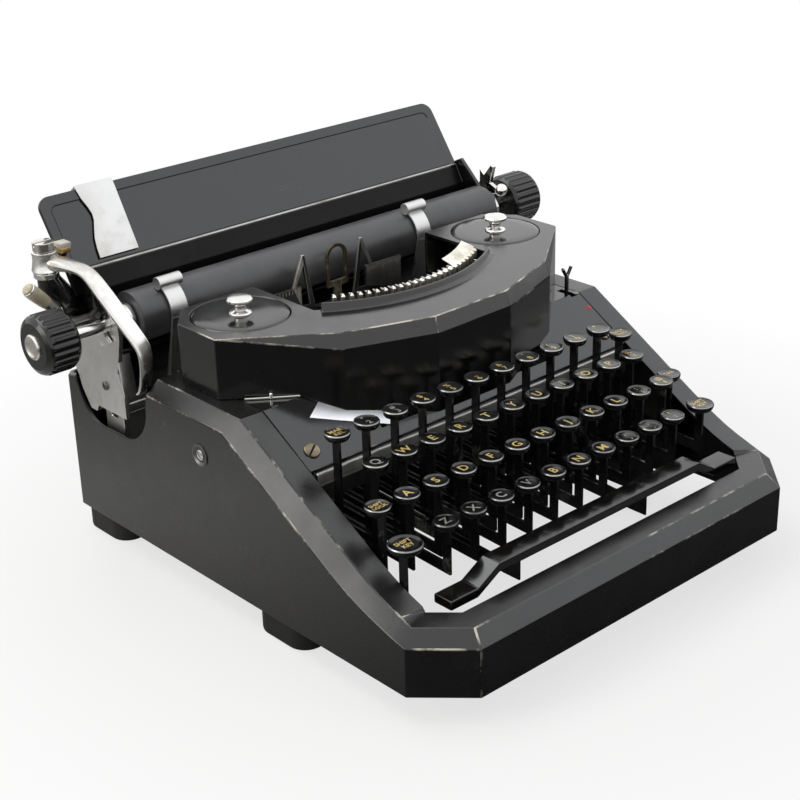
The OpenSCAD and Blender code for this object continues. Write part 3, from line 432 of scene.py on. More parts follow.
def joined(name, parts):
    """Joins parts to one piece."""
    bpy.ops.object.select_all(action="DESELECT")
    for part in parts:
        part.select_set(True)
    bpy.context.view_layer.objects.active = parts[0]
    bpy.ops.object.join()
    parts[0].name = name
    return parts[0]


def plated(name, colour, stain, rough, grime=1.06):
    """Plated or plain steel: bright metal, clouded, with stains in old fingerprints."""
    material, tree, shader = new_finish(name)
    stained = effect(tree, edge_wear, Scale=90.0, Bare_from=grime, Bare_to=grime + 0.4)
    tree.links.new(mix_colours(tree, stained, colour, stain), shader.inputs["Base Color"])
    haze = effect(tree, clouding, Scale=90.0, Detail=5.0)
    tree.links.new(spread(tree, haze, rough, rough + 0.14), shader.inputs["Roughness"])
    shader.inputs["Metallic"].default_value = 1.0
    uneven(tree, shader, effect(tree, scratching, Scale=60.0, Width=0.02, Amount=1.0), 0.15, 0.0001)
    return material


nickel = plated("nickel", (0.70, 0.69, 0.665), (0.36, 0.31, 0.24), 0.10)
plain_steel = plated("plain_steel", (0.40, 0.395, 0.38), (0.20, 0.165, 0.125), 0.30, 1.0)
dark_steel = plated("dark_steel", (0.13, 0.125, 0.12), (0.04, 0.035, 0.03), 0.32)


def painted(name, scale, detail, colour, other, rough, specular=0.5):
    """A finish clouded between two colours, and between two roughnesses if it is given two."""
    material, tree, shader = new_finish(name)
    patches = effect(tree, clouding, Scale=scale, Detail=detail)
    tree.links.new(mix_colours(tree, patches, colour, other), shader.inputs["Base Color"])
    feed(tree, spread(tree, patches, *rough) if isinstance(rough, tuple) else rough, shader.inputs["Roughness"])
    shader.inputs["Specular IOR Level"].default_value = specular
    return material


slot_dirt = painted("slot_dirt", 900.0, 4.0, (0.010, 0.009, 0.008), (0.034, 0.030, 0.024), 0.85)
side_screw_y, side_screw_z = 24.7 * mm, 87.5 * mm
side_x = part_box("body_shell")[1].x
washer_profile = [(0, -0.8), (3.2, -0.8), (4.4, 0.1), (5.4, 0.75), (6.2, 0.5), (6.2, -0.4)]
washer = turned("screw_washer", washer_profile, dark_steel)
screw = turned("screw_head", [(0, 0.9), (1.6, 0.8), (2.8, 0.3), (3.0, -0.6), (0, -0.6)], nickel)
slotted(screw, 0.5 * mm, 0.7 * mm)
for side, label in ((-1, "left"), (1, "right")):
    outward = Matrix.Rotation(side * math.pi / 2, 4, "Y") @ Matrix.Rotation(0.9, 4, "Z")
    spot = (side * side_x, side_screw_y, side_screw_z)
    finish_piece(put(copy_of(washer, "side_washer_" + label), spot, outward), "frame", "steel")
    finish_piece(put(copy_of(screw, "side_screw_" + label), spot, outward), "frame", "steel")

# Rubber feet: four moulded black blocks under the shell, dull and a little dusty.
foot_rubber = painted("foot_rubber", 120.0, 6.0, (0.006, 0.006, 0.006), (0.018, 0.017, 0.016), (0.55, 0.8), 0.3)
tree = foot_rubber.node_tree
uneven(tree, tree.nodes["Principled BSDF"], effect(tree, clouding, Scale=900.0, Detail=4.0), 0.4, 0.0003)


def dressed(node, name, radius, finish, edge_finish, body, slot, **options):
    """A rounded copy of a CAD piece, fixed to its body, that stands for that piece."""
    return finish_piece(rounded_copy(node, name, radius, finish, edge_finish, **options), body, slot, node)


dressed("rubber_feet", "foot_blocks", 0.0018, foot_rubber, foot_rubber, "frame", "rubber", segments=3)

# Chassis: the frame inside, brushed with plain black paint, with the beams that carry the
# key rod, the type segment and the carriage rail.
chassis_paint, tree, shader = new_finish("chassis_paint")
patchy = effect(tree, clouding, Scale=70.0, Detail=6.0)
oily = effect(tree, clouding, Scale=25.0, Detail=3.0)
tree.links.new(mix_colours(tree, patchy, (0.009, 0.009, 0.009), (0.024, 0.022, 0.019)), shader.inputs["Base Color"])
tree.links.new(spread(tree, oily, 0.32, 0.6), shader.inputs["Roughness"])
uneven(tree, shader, patchy, 0.2, 0.0004)
dressed("chassis", "inner_frame", 0.0005, chassis_paint, chassis_paint, "frame", "black_enamel")

# Carriage rail and key rod: ground steel, oiled.
dressed("carriage_rail", "ground_rail", 0.0005, plain_steel, nickel, "frame", "steel")
dressed("key_rod", "lever_rod", 0.0004, plain_steel, nickel, "frame", "steel")

# Deck plate: the enamelled top plate on both sides of the cover, bent down to the keys. It
# is screwed down by two slotted screws, and two painted dots mark the ribbon's colours.
dressed("deck_plate", "deck_sheet", 0.0004, black_enamel, rubbed_edge, "frame", "black_enamel")
slope = math.radians(31)
aged_brass = plated("aged_brass", (0.24, 0.20, 0.14), (0.10, 0.08, 0.055), 0.34, 0.98)
deck_screw = turned("deck_screw_form", [(0, 1.3), (3.9, 1.25), (4.3, 0.9), (4.4, -0.4), (0, -0.4)], aged_brass)
slotted(deck_screw, 0.9 * mm, 1.1 * mm)
down_slope = Matrix.Rotation(slope, 4, "X")
for side, label in ((-1, "left"), (1, "right")):
    head = copy_of(deck_screw, "deck_screw_" + label)
    put(head, (side * 109.1 * mm, -28.9 * mm, 97.6 * mm), down_slope @ Matrix.Rotation(1.1 + side * 0.5, 4, "Z"))
    finish_piece(head, "frame", "steel")
for name, spot, colour in (
    ("cream_dot", (115.8, -1.2, 113.8), (0.62, 0.53, 0.36)),
    ("red_dot", (115.2, -12.2, 107.6), (0.55, 0.03, 0.03)),
):
    faded = tuple(0.7 * c for c in colour)
    dot_paint = painted(name + "_paint", 300.0, 3.0, colour, faded, 0.45)
    dot = turned(name, [(0, 0.35), (1.2, 0.3), (1.75, 0.05), (1.8, -0.3)], dot_paint, 24)
    put(dot, [c * mm for c in spot], down_slope if spot[1] < -2 else None)
    finish_piece(dot, "frame", "cream")
for form in (washer, screw, deck_screw):
    bpy.data.objects.remove(form)

# Ribbon cover: the faceted black lid over the ribbon and the type basket, enamelled like
# the shell and worn along its facets' edges, with a rim round the basket opening.


def cover_edge(spot):
    """The outline of the cover's top and of its bevel, but no lid seat, rim or foot."""
    lid_x, lid_y, basket_y = 94.3, 43.8, 101
    from_lid = math.hypot(abs(spot.x) - lid_x, spot.y - lid_y)
    from_basket = math.hypot(spot.x, spot.y - basket_y)
    return spot.z > 137.5 and from_lid > 29.5 and from_basket > 112 and spot.y < 66


cover_enamel = stoved_enamel("cover_enamel", 1.42, 1.50, 0.075, 0.06)
dressed("ribbon_cover", "faceted_cover", 0.0005, cover_enamel, worn_enamel_edge, "frame", "black_enamel",
        limit=11, worn=cover_edge, smooth=5)

# Paper table: the large tilted plate behind the platen with a raised frame, and below its
# crease the trough that leads the paper round the platen. Enamelled sheet.
apron_black = painted("apron_black", 60.0, 4.0, (0.004, 0.004, 0.004), (0.010, 0.009, 0.008), 0.3, 0.12)
crease_z = 0.1612
table_sheet = rounded_copy("paper_table", "table_sheet", 0.0006, black_enamel, black_enamel, limit=14)
table_sheet.data.materials.append(apron_black)
for face in table_sheet.data.polygons:
    if face.center.z < crease_z:
        face.material_index = 2
finish_piece(table_sheet, "carriage", "black_enamel", "paper_table")

# Space bar: black moulded bar on two arms, its top polished by thumbs.
dressed("space_bar", "thumb_bar", 0.0008, black_enamel, black_enamel, "spacer", "black_enamel")

# Front bar: the grey steel strip under the deck's front edge that the stems of the number
# keys stand before, folded from sheet and spot-welded to the deck.


def block(name, middle, size):
    """A block by its middle and its three lengths."""
    bpy.ops.object.select_all(action="DESELECT")
    bpy.ops.mesh.primitive_cube_add(size=1)
    made = bpy.context.active_object
    made.name = name
    made.data.transform(Matrix.Translation(middle) @ Matrix.Diagonal((*size, 1)))
    return made


def bevel_all(offset, segments):
    """Bevels all edges of the active piece."""
    bpy.ops.object.mode_set(mode="EDIT")
    bpy.ops.mesh.select_all(action="SELECT")
    bpy.ops.mesh.bevel(offset=offset, segments=segments)
    bpy.ops.object.mode_set(mode="OBJECT")


bar_back, bar_front = -36.8 * mm, -39.8 * mm
bar_low, bar_high = 82.4 * mm, 90.3 * mm
bar_half = 115 * mm
front_bar = block("front_bar", (0, (bar_back + bar_front) / 2, (bar_low + bar_high) / 2),
                  (2 * bar_half, bar_back - bar_front, bar_high - bar_low))
bevel_all(0.9 * mm, 3)
front_bar.data.materials.append(plain_steel)
bpy.ops.object.shade_smooth_by_angle(angle=math.radians(35))
finish_piece(front_bar, "frame", "steel")

# Spool lids: pressed discs with a rolled edge, black enamel dulled by handling, each with
# a turned nickel knob on a collar. The ribbon spools under them are plain steel.
lid_enamel = stoved_enamel("lid_enamel", 1.30, 1.42, 0.09)
lid_profile = [(0, 145.0), (25.2, 145.0), (25.9, 145.3), (26.0, 146.3), (25.7, 146.8), (25.0, 147.1), (23.6, 147.3),
               (18.0, 147.4), (9.0, 147.5), (6.2, 147.5), (0, 147.5)]
knob_profile = [(0, 147.2), (6.0, 147.2), (6.1, 148.0), (5.6, 148.6), (4.4, 148.9), (3.5, 149.6), (3.2, 151.0),
                (3.6, 152.4), (5.0, 153.5), (6.6, 154.1), (7.0, 154.7), (6.9, 155.5), (6.2, 156.2), (4.6, 156.5),
                (0, 156.6)]
lid_form = turned("lid_form", lid_profile, lid_enamel, 72)
knob_form = turned("knob_form", knob_profile, nickel, 48)
for side, label in ((-1, "left"), (1, "right")):
    low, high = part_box("spool_lid_" + label)
    middle = ((low.x + high.x) / 2, (low.y + high.y) / 2, 0)
    lid = put(copy_of(lid_form, "lid_disc_" + label), middle)
    finish_piece(lid, "lid_" + label, "black_enamel", "spool_lid_" + label)
    finish_piece(put(copy_of(knob_form, "lid_knob_" + label), middle), "lid_" + label, "bright")
    dressed("ribbon_spool_" + label, "spool_" + label, 0.0003, plain_steel, nickel, "spool_" + label, "steel")
for form in (lid_form, knob_form):
    bpy.data.objects.remove(form)

# Type basket: the segment casting, the type bars in its slots and the slugs soldered to
# their ends, the casting and bars plain steel, the slugs a brighter, stained metal.
dressed("type_segment", "segment_casting", 0.0005, plain_steel, nickel, "frame", "steel")
dressed("type_bars", "type_bar_fan", 0.0002, plain_steel, nickel, "frame", "bright")
slug_metal = plated("slug_metal", (0.80, 0.78, 0.70), (0.34, 0.29, 0.21), 0.26, 1.02)
basket_y = 101 * mm
bar_count, fan_half = 24, 32
slug_form = block("slug_form", (97.4 * mm, 0, 149.6 * mm), (2.8 * mm, 2.0 * mm, 3.8 * mm))
bpy.ops.object.mode_set(mode="EDIT")
bpy.ops.mesh.select_mode(type="FACE")
bpy.ops.mesh.select_all(action="DESELECT")
bpy.ops.object.mode_set(mode="OBJECT")
for face in slug_form.data.polygons:
    face.select = face.normal.z > 0.9
bpy.ops.object.mode_set(mode="EDIT")
bpy.ops.mesh.inset(thickness=0.6 * mm, depth=1.0 * mm)
bpy.ops.object.mode_set(mode="OBJECT")
bevel_all(0.15 * mm, 1)
slug_form.data.materials.append(slug_metal)
slugs = []
for k in range(bar_count):
    angle = math.radians(fan_half * (2 * k / (bar_count - 1) - 1) - 90)
    slugs.append(put(copy_of(slug_form, "slug"), (0, basket_y, 0), Matrix.Rotation(angle, 4, "Z")))
finish_piece(joined("type_slugs", slugs), "frame", "bright")
bpy.data.objects.remove(slug_form)

# Basket guard: a bright nickelled sheet that lies along the right end of the type bars.


def outward_normals():
    """Turns the faces of the active piece outwards."""
    bpy.ops.object.mode_set(mode="EDIT")
    bpy.ops.mesh.select_all(action="SELECT")
    bpy.ops.mesh.normals_make_consistent(inside=False)
    bpy.ops.object.mode_set(mode="OBJECT")


def new_piece(name, places, faces):
    """A piece from its corners and faces, selected."""
    mesh = bpy.data.meshes.new(name)
    mesh.from_pydata(places, [], faces)
    piece = bpy.data.objects.new(name, mesh)
    bpy.context.scene.collection.objects.link(piece)
    select_only(piece)
    return piece


def sheet(name, places, faces, thickness, finish, edge, offset):
    """Sheet metal from thin faces, given its thickness and rounded edges."""
    piece = new_piece(name, places, faces)
    wall = piece.modifiers.new("wall", "SOLIDIFY")
    wall.thickness = thickness
    wall.offset = offset
    bpy.ops.object.modifier_apply(modifier=wall.name)
    outward_normals()
    rounding = piece.modifiers.new("rounding", "BEVEL")
    rounding.width = edge
    rounding.segments = 2
    rounding.limit_method = "ANGLE"
    rounding.angle_limit = math.radians(40)
    bpy.ops.object.modifier_apply(modifier=rounding.name)
    piece.data.materials.append(finish)
    bpy.ops.object.shade_smooth_by_angle(angle=math.radians(35))
    return piece


guard_places = []
for k in range(13):
    swing = math.radians(16 + 21 * k / 12)
    for radius, height in ((96.0, 150.9), (88.5, 154.2)):
        guard_places.append((radius * math.sin(swing) * mm, basket_y - radius * math.cos(swing) * mm, height * mm))
guard_faces = [(2 * k, 2 * k + 2, 2 * k + 3, 2 * k + 1) for k in range(12)]
basket_guard = sheet("basket_guard", guard_places, guard_faces, 0.8 * mm, slug_metal, 0.25 * mm, -1)
finish_piece(basket_guard, "frame", "bright")

# Line scale and card fingers: blackened sheet with the spaces' marks engraved and filled
# with white, and two V-shaped wires that hold a card to the platen.
blackened, tree, shader = new_finish("blackened_sheet")
worn_dark = effect(tree, edge_wear, Scale=160.0, Bare_from=1.1, Bare_to=1.3)
tree.links.new(mix_colours(tree, worn_dark, (0.010, 0.010, 0.010), (0.09, 0.085, 0.08)), shader.inputs["Base Color"])
tree.links.new(spread(tree, effect(tree, clouding, Scale=80.0, Detail=4.0), 0.25, 0.5), shader.inputs["Roughness"])
scale_sheet = rounded_copy("line_scale", "scale_sheet", 0.0003, blackened, blackened)
scale_sheet.data.materials.append(plain_steel)
sheet_top = 0.1342
for face in scale_sheet.data.polygons:
    if face.center.z > sheet_top:
        face.material_index = 2
finish_piece(scale_sheet, "frame", "steel", "line_scale")
mark_white = painted("mark_white", 400.0, 3.0, (0.60, 0.56, 0.45), (0.30, 0.27, 0.2), 0.6)
scale_front, marks_top = 80.6 * mm, 133.4 * mm
first_mark, mark_step = 26, 2.3
marks = []
for side in (-1, 1):
    for k in range(12):
        height = (2.4 if k % 5 else 4.2) * mm
        mark = block("mark", (side * (first_mark + mark_step * k) * mm, scale_front, marks_top - height / 2),
                     (0.5 * mm, 0.2 * mm, height))
        bevel_all(0.06 * mm, 1)
        mark.data.materials.append(mark_white)
        marks.append(mark)
finish_piece(joined("scale_marks", marks), "frame", "cream")

# Ribbon vibrator: the brown lacquered loop that lifts the ribbon at the printing point.
guide_lacquer, tree, shader = new_finish("guide_lacquer")
rubbed = effect(tree, edge_wear, Scale=140.0, Bare_from=1.0, Bare_to=1.2)
tree.links.new(mix_colours(tree, rubbed, (0.060, 0.045, 0.026), (0.24, 0.20, 0.13)), shader.inputs["Base Color"])
tree.links.new(spread(tree, rubbed, 0.3, 0.5), shader.inputs["Roughness"])
shader.inputs["Metallic"].default_value = 0.4
dressed("ribbon_vibrator", "ribbon_loop", 0.0006, guide_lacquer, guide_lacquer, "vibrator", "ribbon_guide", segments=3)

# Ribbon selector: a small forked lever through the deck's slot, black, its tips rubbed.
dressed("ribbon_selector", "forked_lever", 0.0003, blackened, plain_steel, "selector", "black_enamel")

# Key tops: round black caps, turned with a raised rim and a shallow dish, on the stems of
# their levers. The letters are pressed into the dish and filled with gold or silver paint.
key_black, tree, shader = new_finish("key_black")
greasy = effect(tree, clouding, Scale=240.0, Detail=5.0)
scuffed = effect(tree, scratching, Scale=90.0, Width=0.02, Amount=0.5)
tree.links.new(mix_colours(tree, scuffed, (0.006, 0.006, 0.006), (0.05, 0.05, 0.048)), shader.inputs["Base Color"])
tree.links.new(spread(tree, greasy, 0.07, 0.20), shader.inputs["Roughness"])
shader.inputs["IOR"].default_value = 1.56
lever_black, tree, shader = new_finish("lever_black")
chipped = effect(tree, edge_wear, Scale=170.0, Bare_from=1.16, Bare_to=1.28)
tree.links.new(mix_colours(tree, chipped, (0.008, 0.008, 0.008), (0.10, 0.095, 0.085)), shader.inputs["Base Color"])
tree.links.new(spread(tree, effect(tree, clouding, Scale=60.0, Detail=4.0), 0.16, 0.34), shader.inputs["Roughness"])


def legend_paint(name, colour, faded_colour, gone):
    """Old paint in the pressed letters, rubbed away in places."""
    material, tree, shader = new_finish(name)
    faded = effect(tree, edge_wear, Scale=420.0, Bare_from=gone, Bare_to=gone + 0.3)
    tree.links.new(mix_colours(tree, faded, colour, faded_colour), shader.inputs["Base Color"])
    shader.inputs["Roughness"].default_value = 0.42
    shader.inputs["Metallic"].default_value = 0.25
    return material


gold_letter = legend_paint("gold_letter", (0.74, 0.56, 0.21), (0.30, 0.21, 0.07), 1.06)
silver_letter = legend_paint("silver_letter", (0.42, 0.41, 0.38), (0.13, 0.12, 0.11), 0.94)
dish = [(0, 0.16), (2.4, 0.18), (4.4, 0.24), (5.25, 0.34)]
rim_low, rim_high = (6.62, 0.05), (6.34, 0.56)
cap_profile = [(0, -3.4), (4.6, -3.4), (5.5, -3.25), (6.15, -2.4), (6.55, -1.3), (6.66, -0.4), rim_low, rim_high,
               (6.12, 0.68), (5.85, 0.62)] + dish[::-1]
cap_form = turned("cap_form", cap_profile, key_black, 40)
# Painted highlight: the outer band of each rim gets a bright metal finish that stands in for the bright crescents on
# the key rims.
rim_highlight_metal = plated("rim_highlight_metal", (0.40, 0.40, 0.39), (0.05, 0.05, 0.05), 0.22, 0.98)
cap_form.data.materials.append(rim_highlight_metal)
for face in cap_form.data.polygons:
    radius = math.hypot(face.center.x, face.center.y)
    if radius > 6.4 * mm and rim_low[1] * mm < face.center.z < rim_high[1] * mm:
        face.material_index = 1


def dish_height(radius):
    """Height of the dish at a distance from the key's middle, over the CAD top, in mm."""
    for (r0, z0), (r1, z1) in zip(dish, dish[1:]):
        if radius <= r1:
            return z0 + (z1 - z0) * (radius - r0) / (r1 - r0)
    return dish[-1][1]


def legend(words, spot, paint, scale):
    """Letters laid in the dish of a key: (text, across, up, height) each, in mm."""
    parts = []
    for text, across, up, height in words:
        bpy.ops.object.select_all(action="DESELECT")
        bpy.ops.object.text_add()
        letters = bpy.context.active_object
        letters.data.body = text
        letters.data.align_x = "CENTER"
        letters.data.align_y = "CENTER"
        letters.data.size = height
        letters.data.offset = 0.018 * height
        letters.data.resolution_u = 3
        bpy.ops.object.convert(target="MESH")
        letters = bpy.context.active_object
        for v in letters.data.vertices:
            x, y = v.co.x + across, v.co.y + up
            v.co = (x * mm, y * mm, (dish_height(math.hypot(x, y) / scale) + 0.05) * mm)
        letters.data.materials.clear()
        letters.data.materials.append(paint)
        parts.append(letters)
    return put(joined("legend", parts), spot)


def key_top(spot, words, paint=gold_letter, scale=1.0):
    """A cap and its letters at a key's place, given in mm; gives both pieces."""
    place = Vector(spot) * mm
    cap = copy_of(cap_form, "cap")
    put(cap, place, Matrix.Diagonal((scale, scale, 1, 1)))
    return cap, legend(words, place, paint, scale)


pitch = 19.05
row_start = (-5.675, -5.15, -5.024, -4.499)
row_y = (-48.1, -64.4, -84.0, -100.0)
row_top = (113.7, 99.8, 89.1, 76.2)
letter_rows = ("qwertyuiop", "asdfghjkl", "zxcvbnm")


def key_spot(row, place):
    """Middle of a key's top, in mm."""
    return ((row_start[row] + place) * pitch, row_y[row], row_top[row])


def key_group(label, body, tops):
    """Joins the tops of a group of keys to one piece of caps and one of letters."""
    finish_piece(joined(label + "_caps", [cap for cap, mark in tops]), body, "key")
    finish_piece(joined(label + "_marks", [mark for cap, mark in tops]), body, "cream")


for row, letters in enumerate(letter_rows, 1):
    for place, letter in enumerate(letters):
        body = "key_" + letter
        paint = silver_letter if letter in "qzxcv" else gold_letter
        cap, mark = key_top(key_spot(row, place), [(letter.upper(), 0, 0, 7.4)], paint)
        cap.name, mark.name = "cap_" + letter, "letter_" + letter
        finish_piece(cap, body, "key")
        finish_piece(mark, body, "cream")

number_signs = zip("\"#$%_&'()*", "234567890-")
tops = [key_top(key_spot(0, 0), [("MAR", 0, 1.7, 3.9), ("REL", 0, -1.7, 3.9)])]
for place, (upper, lower) in enumerate(number_signs, 1):
    paint = silver_letter if lower in "23" else gold_letter
    tops.append(key_top(key_spot(0, place), [(upper, 0, 2.5, 4.8), (lower, 0, -2.3, 5.2)], paint))
x, y, top = key_spot(0, 11)
tops.append(key_top((x, y, top - 8), [("BACK", 0, 1.6, 3.3), ("SPACE", 0, -1.6, 3.1)]))
key_group("number", "number_row", tops)

tops = [key_top((5.984 * pitch, -74, 84.5), [("TAB", 0, 0, 3.9)])]
for row, place, upper, lower in ((1, 10, "½", "¼"), (2, 9, ":", ";"), (2, 10, "@", "¢"), (3, 7, ",", ","),
                                 (3, 8, ".", "."), (3, 9, "?", "/")):
    tops.append(key_top(key_spot(row, place), [(upper, 0, 2.4, 4.6), (lower, 0, -2.4, 4.6)]))
key_group("symbol", "symbols", tops)

shift_words = [("SHIFT", 0, 1.9, 4.0), ("KEY", 0, -1.9, 4.0)]
key_group("shift", "shift", [
    key_top((-6.026 * pitch, -103, 76.2), shift_words, scale=1.34),
    key_top((5.69 * pitch, -101, 76.2), shift_words, scale=1.156),
    key_top(((row_start[2] - 1) * pitch, -84, 89.1), [("SHIFT", 0, 1.5, 3.2), ("LOCK", 0, -1.5, 3.2)]),
])
bpy.data.objects.remove(cap_form)
for name in ["number_keys", "symbol_keys", "shift_keys"] + ["key_" + c for c in "".join(letter_rows)]:
    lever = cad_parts[name]
    lever.data.materials.clear()
    lever.data.materials.append(lever_black)

# Platen: the hard rubber roll, matt and paper-worn, on its ground shaft with the ratchet.
platen_rubber = painted("platen_rubber", 55.0, 6.0, (0.066, 0.066, 0.069), (0.098, 0.098, 0.101), (0.30, 0.44))
dressed("platen", "rubber_roll", 0.0006, platen_rubber, platen_rubber, "roller", "platen_rubber")
dressed("platen_shaft", "ground_shaft", 0.0004, nickel, nickel, "roller", "bright")

# Platen knobs: ribbed black moulded wheels, each with a domed nickel cap in its outer face.
knob_black = painted("knob_black", 150.0, 5.0, (0.005, 0.005, 0.005), (0.012, 0.011, 0.010), (0.12, 0.26))
satin_cap = plated("satin_cap", (0.72, 0.70, 0.66), (0.42, 0.36, 0.29), 0.18, 0.98)
axis_y, axis_z = 104 * mm, 137 * mm
knob_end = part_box("platen_knob_right")[1].x
dome_profile = [(0, 0.5), (2.8, 0.6), (4.2, 1.0), (5.2, 1.5), (6.2, 1.3), (6.9, 0.5), (7.0, -0.5)]
cap_dome = turned("cap_dome", dome_profile, satin_cap, 40)
for side, label in ((-1, "left"), (1, "right")):
    dressed("platen_knob_" + label, "ribbed_knob_" + label, 0.0004, knob_black, knob_black, "roller", "knob")
    dome = copy_of(cap_dome, "knob_cap_" + label)
    put(dome, (side * knob_end, axis_y, axis_z), Matrix.Rotation(side * math.pi / 2, 4, "Y"))
    finish_piece(dome, "roller", "bright")
bpy.data.objects.remove(cap_dome)

# Carriage frame: the satin steel end plates and the bar between them, the black cast cup at
# the left end, and the nickelled lever post in it with its slotted head.
end_steel = plated("end_steel", (0.66, 0.65, 0.63), (0.42, 0.38, 0.32), 0.26, 1.0)
end_frame = rounded_copy("carriage_frame", "carriage_ends", 0.0004, end_steel, nickel)
end_frame.data.materials.append(black_enamel)
cup_inner_x, post_foot_z = -138.3, 163
for face in end_frame.data.polygons:
    spot = face.center * 1000
    if spot.x < cup_inner_x:
        face.material_index = 1 if spot.z > post_foot_z else 2
finish_piece(end_frame, "carriage", "steel", "carriage_frame")

# Shaft clamp and end plate flange: a bright bracket by the shaft on the left end plate, the
# plate's own edge folded forwards below it, and a screw in the fold.


def plate(name, points, thickness, finish, edge=0.0004):
    """A flat piece of sheet from its outline in mm."""
    corners = [Vector(p) * mm for p in points]
    return sheet(name, corners, [tuple(range(len(points)))], thickness, finish, edge, 0)


clamp_outline = [(118.5, 135.6), (109.3, 137.4), (103.0, 131.2), (99.2, 128.4), (107.6, 124.2), (112.5, 130.0)]
clamp = plate("shaft_clamp", [(-139.6, y, z) for y, z in clamp_outline], 0.0026, nickel, 0.0006)
finish_piece(clamp, "carriage", "bright")
fold = plate("plate_fold", [(-137.9, 94.6, 97), (-137.9, 97.2, 112), (-137.9, 99.0, 122), (-129.6, 99.0, 122),
                            (-129.6, 97.2, 112), (-129.6, 94.6, 97)], 0.0014, end_steel)
finish_piece(fold, "carriage", "steel")
fold_screw = turned("fold_screw", [(0, 1.3), (1.6, 1.2), (2.5, 0.7), (2.7, -0.6), (0, -0.6)], dark_steel, 28)
slotted(fold_screw, 0.6 * mm, 0.7 * mm)
outward = Matrix.Rotation(-math.pi / 2, 4, "Y") @ Matrix.Rotation(0.6, 4, "Z")
put(fold_screw, (-138.1 * mm, 112 * mm, 99 * mm), outward)
finish_piece(fold_screw, "carriage", "steel")

# Table bracket: the black plate at each end of the carriage that holds up the paper table.
bracket_outline = [(105.5, 140.4), (101.5, 146.0), (107.5, 154.0), (115.5, 161.5), (121.0, 166.5), (128.5, 163.0),
                   (124.5, 150.0), (119.0, 139.5)]
for x, label in ((-140.2, "left"), (142.6, "right")):
    bracket = plate("table_bracket_" + label, [(x, y, z) for y, z in bracket_outline], 0.0026, black_enamel, 0.0006)
    finish_piece(bracket, "carriage", "black_enamel")

# Cover strip: at the cover's left foot a bright strip with an upright pin on the deck, and
# in front of the left shoulder a thin bright satin sheet laid on the deck slope for the bright patch there.
satin_sheet = plated("satin_sheet", (0.84, 0.84, 0.87), (0.62, 0.62, 0.65), 0.40, 1.1)
sheet_margin = ((-86.7, -7.9), (-77.7, -14.4), (-57.8, -22.6), (-55.8, -29.3), (-57.6, -32.1), (-84.3, -20.1),
                (-97.6, -13.8))
strip_outline = ((-117.1, 14.0), (-94.4, -3.2), (-93.6, -2.2), (-116.3, 15.0))
strip = plate("foot_strip", [(x, y, 114.6) for x, y in strip_outline], 0.0014, nickel)
pin = turned("strip_pin", [(0.9, 0), (0.9, 2.6), (0.6, 3.1), (0, 3.2)], nickel, 16)
put(pin, (-105.9 * mm, 6.2 * mm, 114.2 * mm))
finish_piece(joined("cover_strip", [strip, pin]), "frame", "bright")
on_slope = [(x, y, 114.2 + (y + 1.9) * math.tan(slope)) for x, y in sheet_margin]
# A thin bright satin sheet on the deck slope, for the bright patch in front of the cover's left shoulder.
finish_piece(plate("bright_patch_sheet", on_slope, 0.0006, satin_sheet, 0.0001), "frame", "bright")

# Stop block: a small brass block with a white pad at the left end of the paper table.
brass = plated("brass", (0.56, 0.38, 0.16), (0.25, 0.16, 0.07), 0.22)
pad_white = painted("pad_white", 300.0, 3.0, (0.74, 0.71, 0.64), (0.58, 0.53, 0.44), 0.5)
block_outline = ((-147, 127.5), (-141, 127.5), (-141, 133), (-147, 133))
stop_block = plate("stop_block", [(x, y, 174.4) for x, y in block_outline], 0.0030, brass)
finish_piece(stop_block, "carriage", "steel")
pad_outline = ((-147.3, 127.1), (-140.7, 127.1), (-140.7, 134.6), (-147.3, 134.6))
stop_pad = plate("stop_pad", [(x, y, 177.2) for x, y in pad_outline], 0.0028, pad_white, 0.0006)
finish_piece(stop_pad, "carriage", "cream")

# Paper guide: a clip of satin nickel sheet with a waisted left edge that slides along the
# table, hooked over its top edge. Along the table's crease below it runs a thin bright steel bead, a painted highlight
# on the crease.
satin_nickel = plated("satin_nickel", (0.56, 0.555, 0.545), (0.42, 0.40, 0.36), 0.34, 1.0)


def on_paper_table(x, along, out):
    """A place by its distance along the table from the crease and out from its face, in mm."""
    return (x, 124.5 + 0.573 * along - 0.820 * out, 162 + 0.820 * along + 0.573 * out)


guide_outline = [(-125.1, 3.6), (-124.6, 9.0), (-123.4, 15.0), (-121.2, 20.5), (-119.3, 25.0), (-118.8, 28.5),
                 (-119.6, 32.5), (-121.4, 38.0), (-122.6, 45.9), (-98.5, 45.9), (-98.6, 40.0), (-100.4, 3.6)]
clip = plate("guide_clip", [on_paper_table(x, along, 1.3) for x, along in guide_outline], 0.0008, satin_nickel, 0.0002)
hook_outline = ((-122.4, 1.6), (-98.6, 1.6), (-98.9, -4.0), (-122.0, -4.0))
hook = plate("guide_hook", [on_paper_table(x, 45.2, out) for x, out in hook_outline], 0.0010, satin_nickel, 0.0003)
finish_piece(joined("guide_clip", [clip, hook]), "guide", "bright", "paper_guide")
# Painted highlight: a thin bright steel bead along the crease stands in for the light that the crease catches.
bead_outline = ((-146, -0.3), (140, -0.3), (140, 0.8), (-146, 0.8))
highlight_bead = plate("crease_highlight_bead", [on_paper_table(x, along, 0.3) for x, along in bead_outline], 0.0011, plain_steel, 0.0004)
finish_piece(highlight_bead, "carriage", "bright")

# Paper fingers: nickelled spring strips with a small roller at their tops.
for label in ("left", "right"):
    dressed("paper_finger_" + label, "finger_" + label, 0.0003, satin_nickel, satin_nickel, "finger_" + label, "bright")
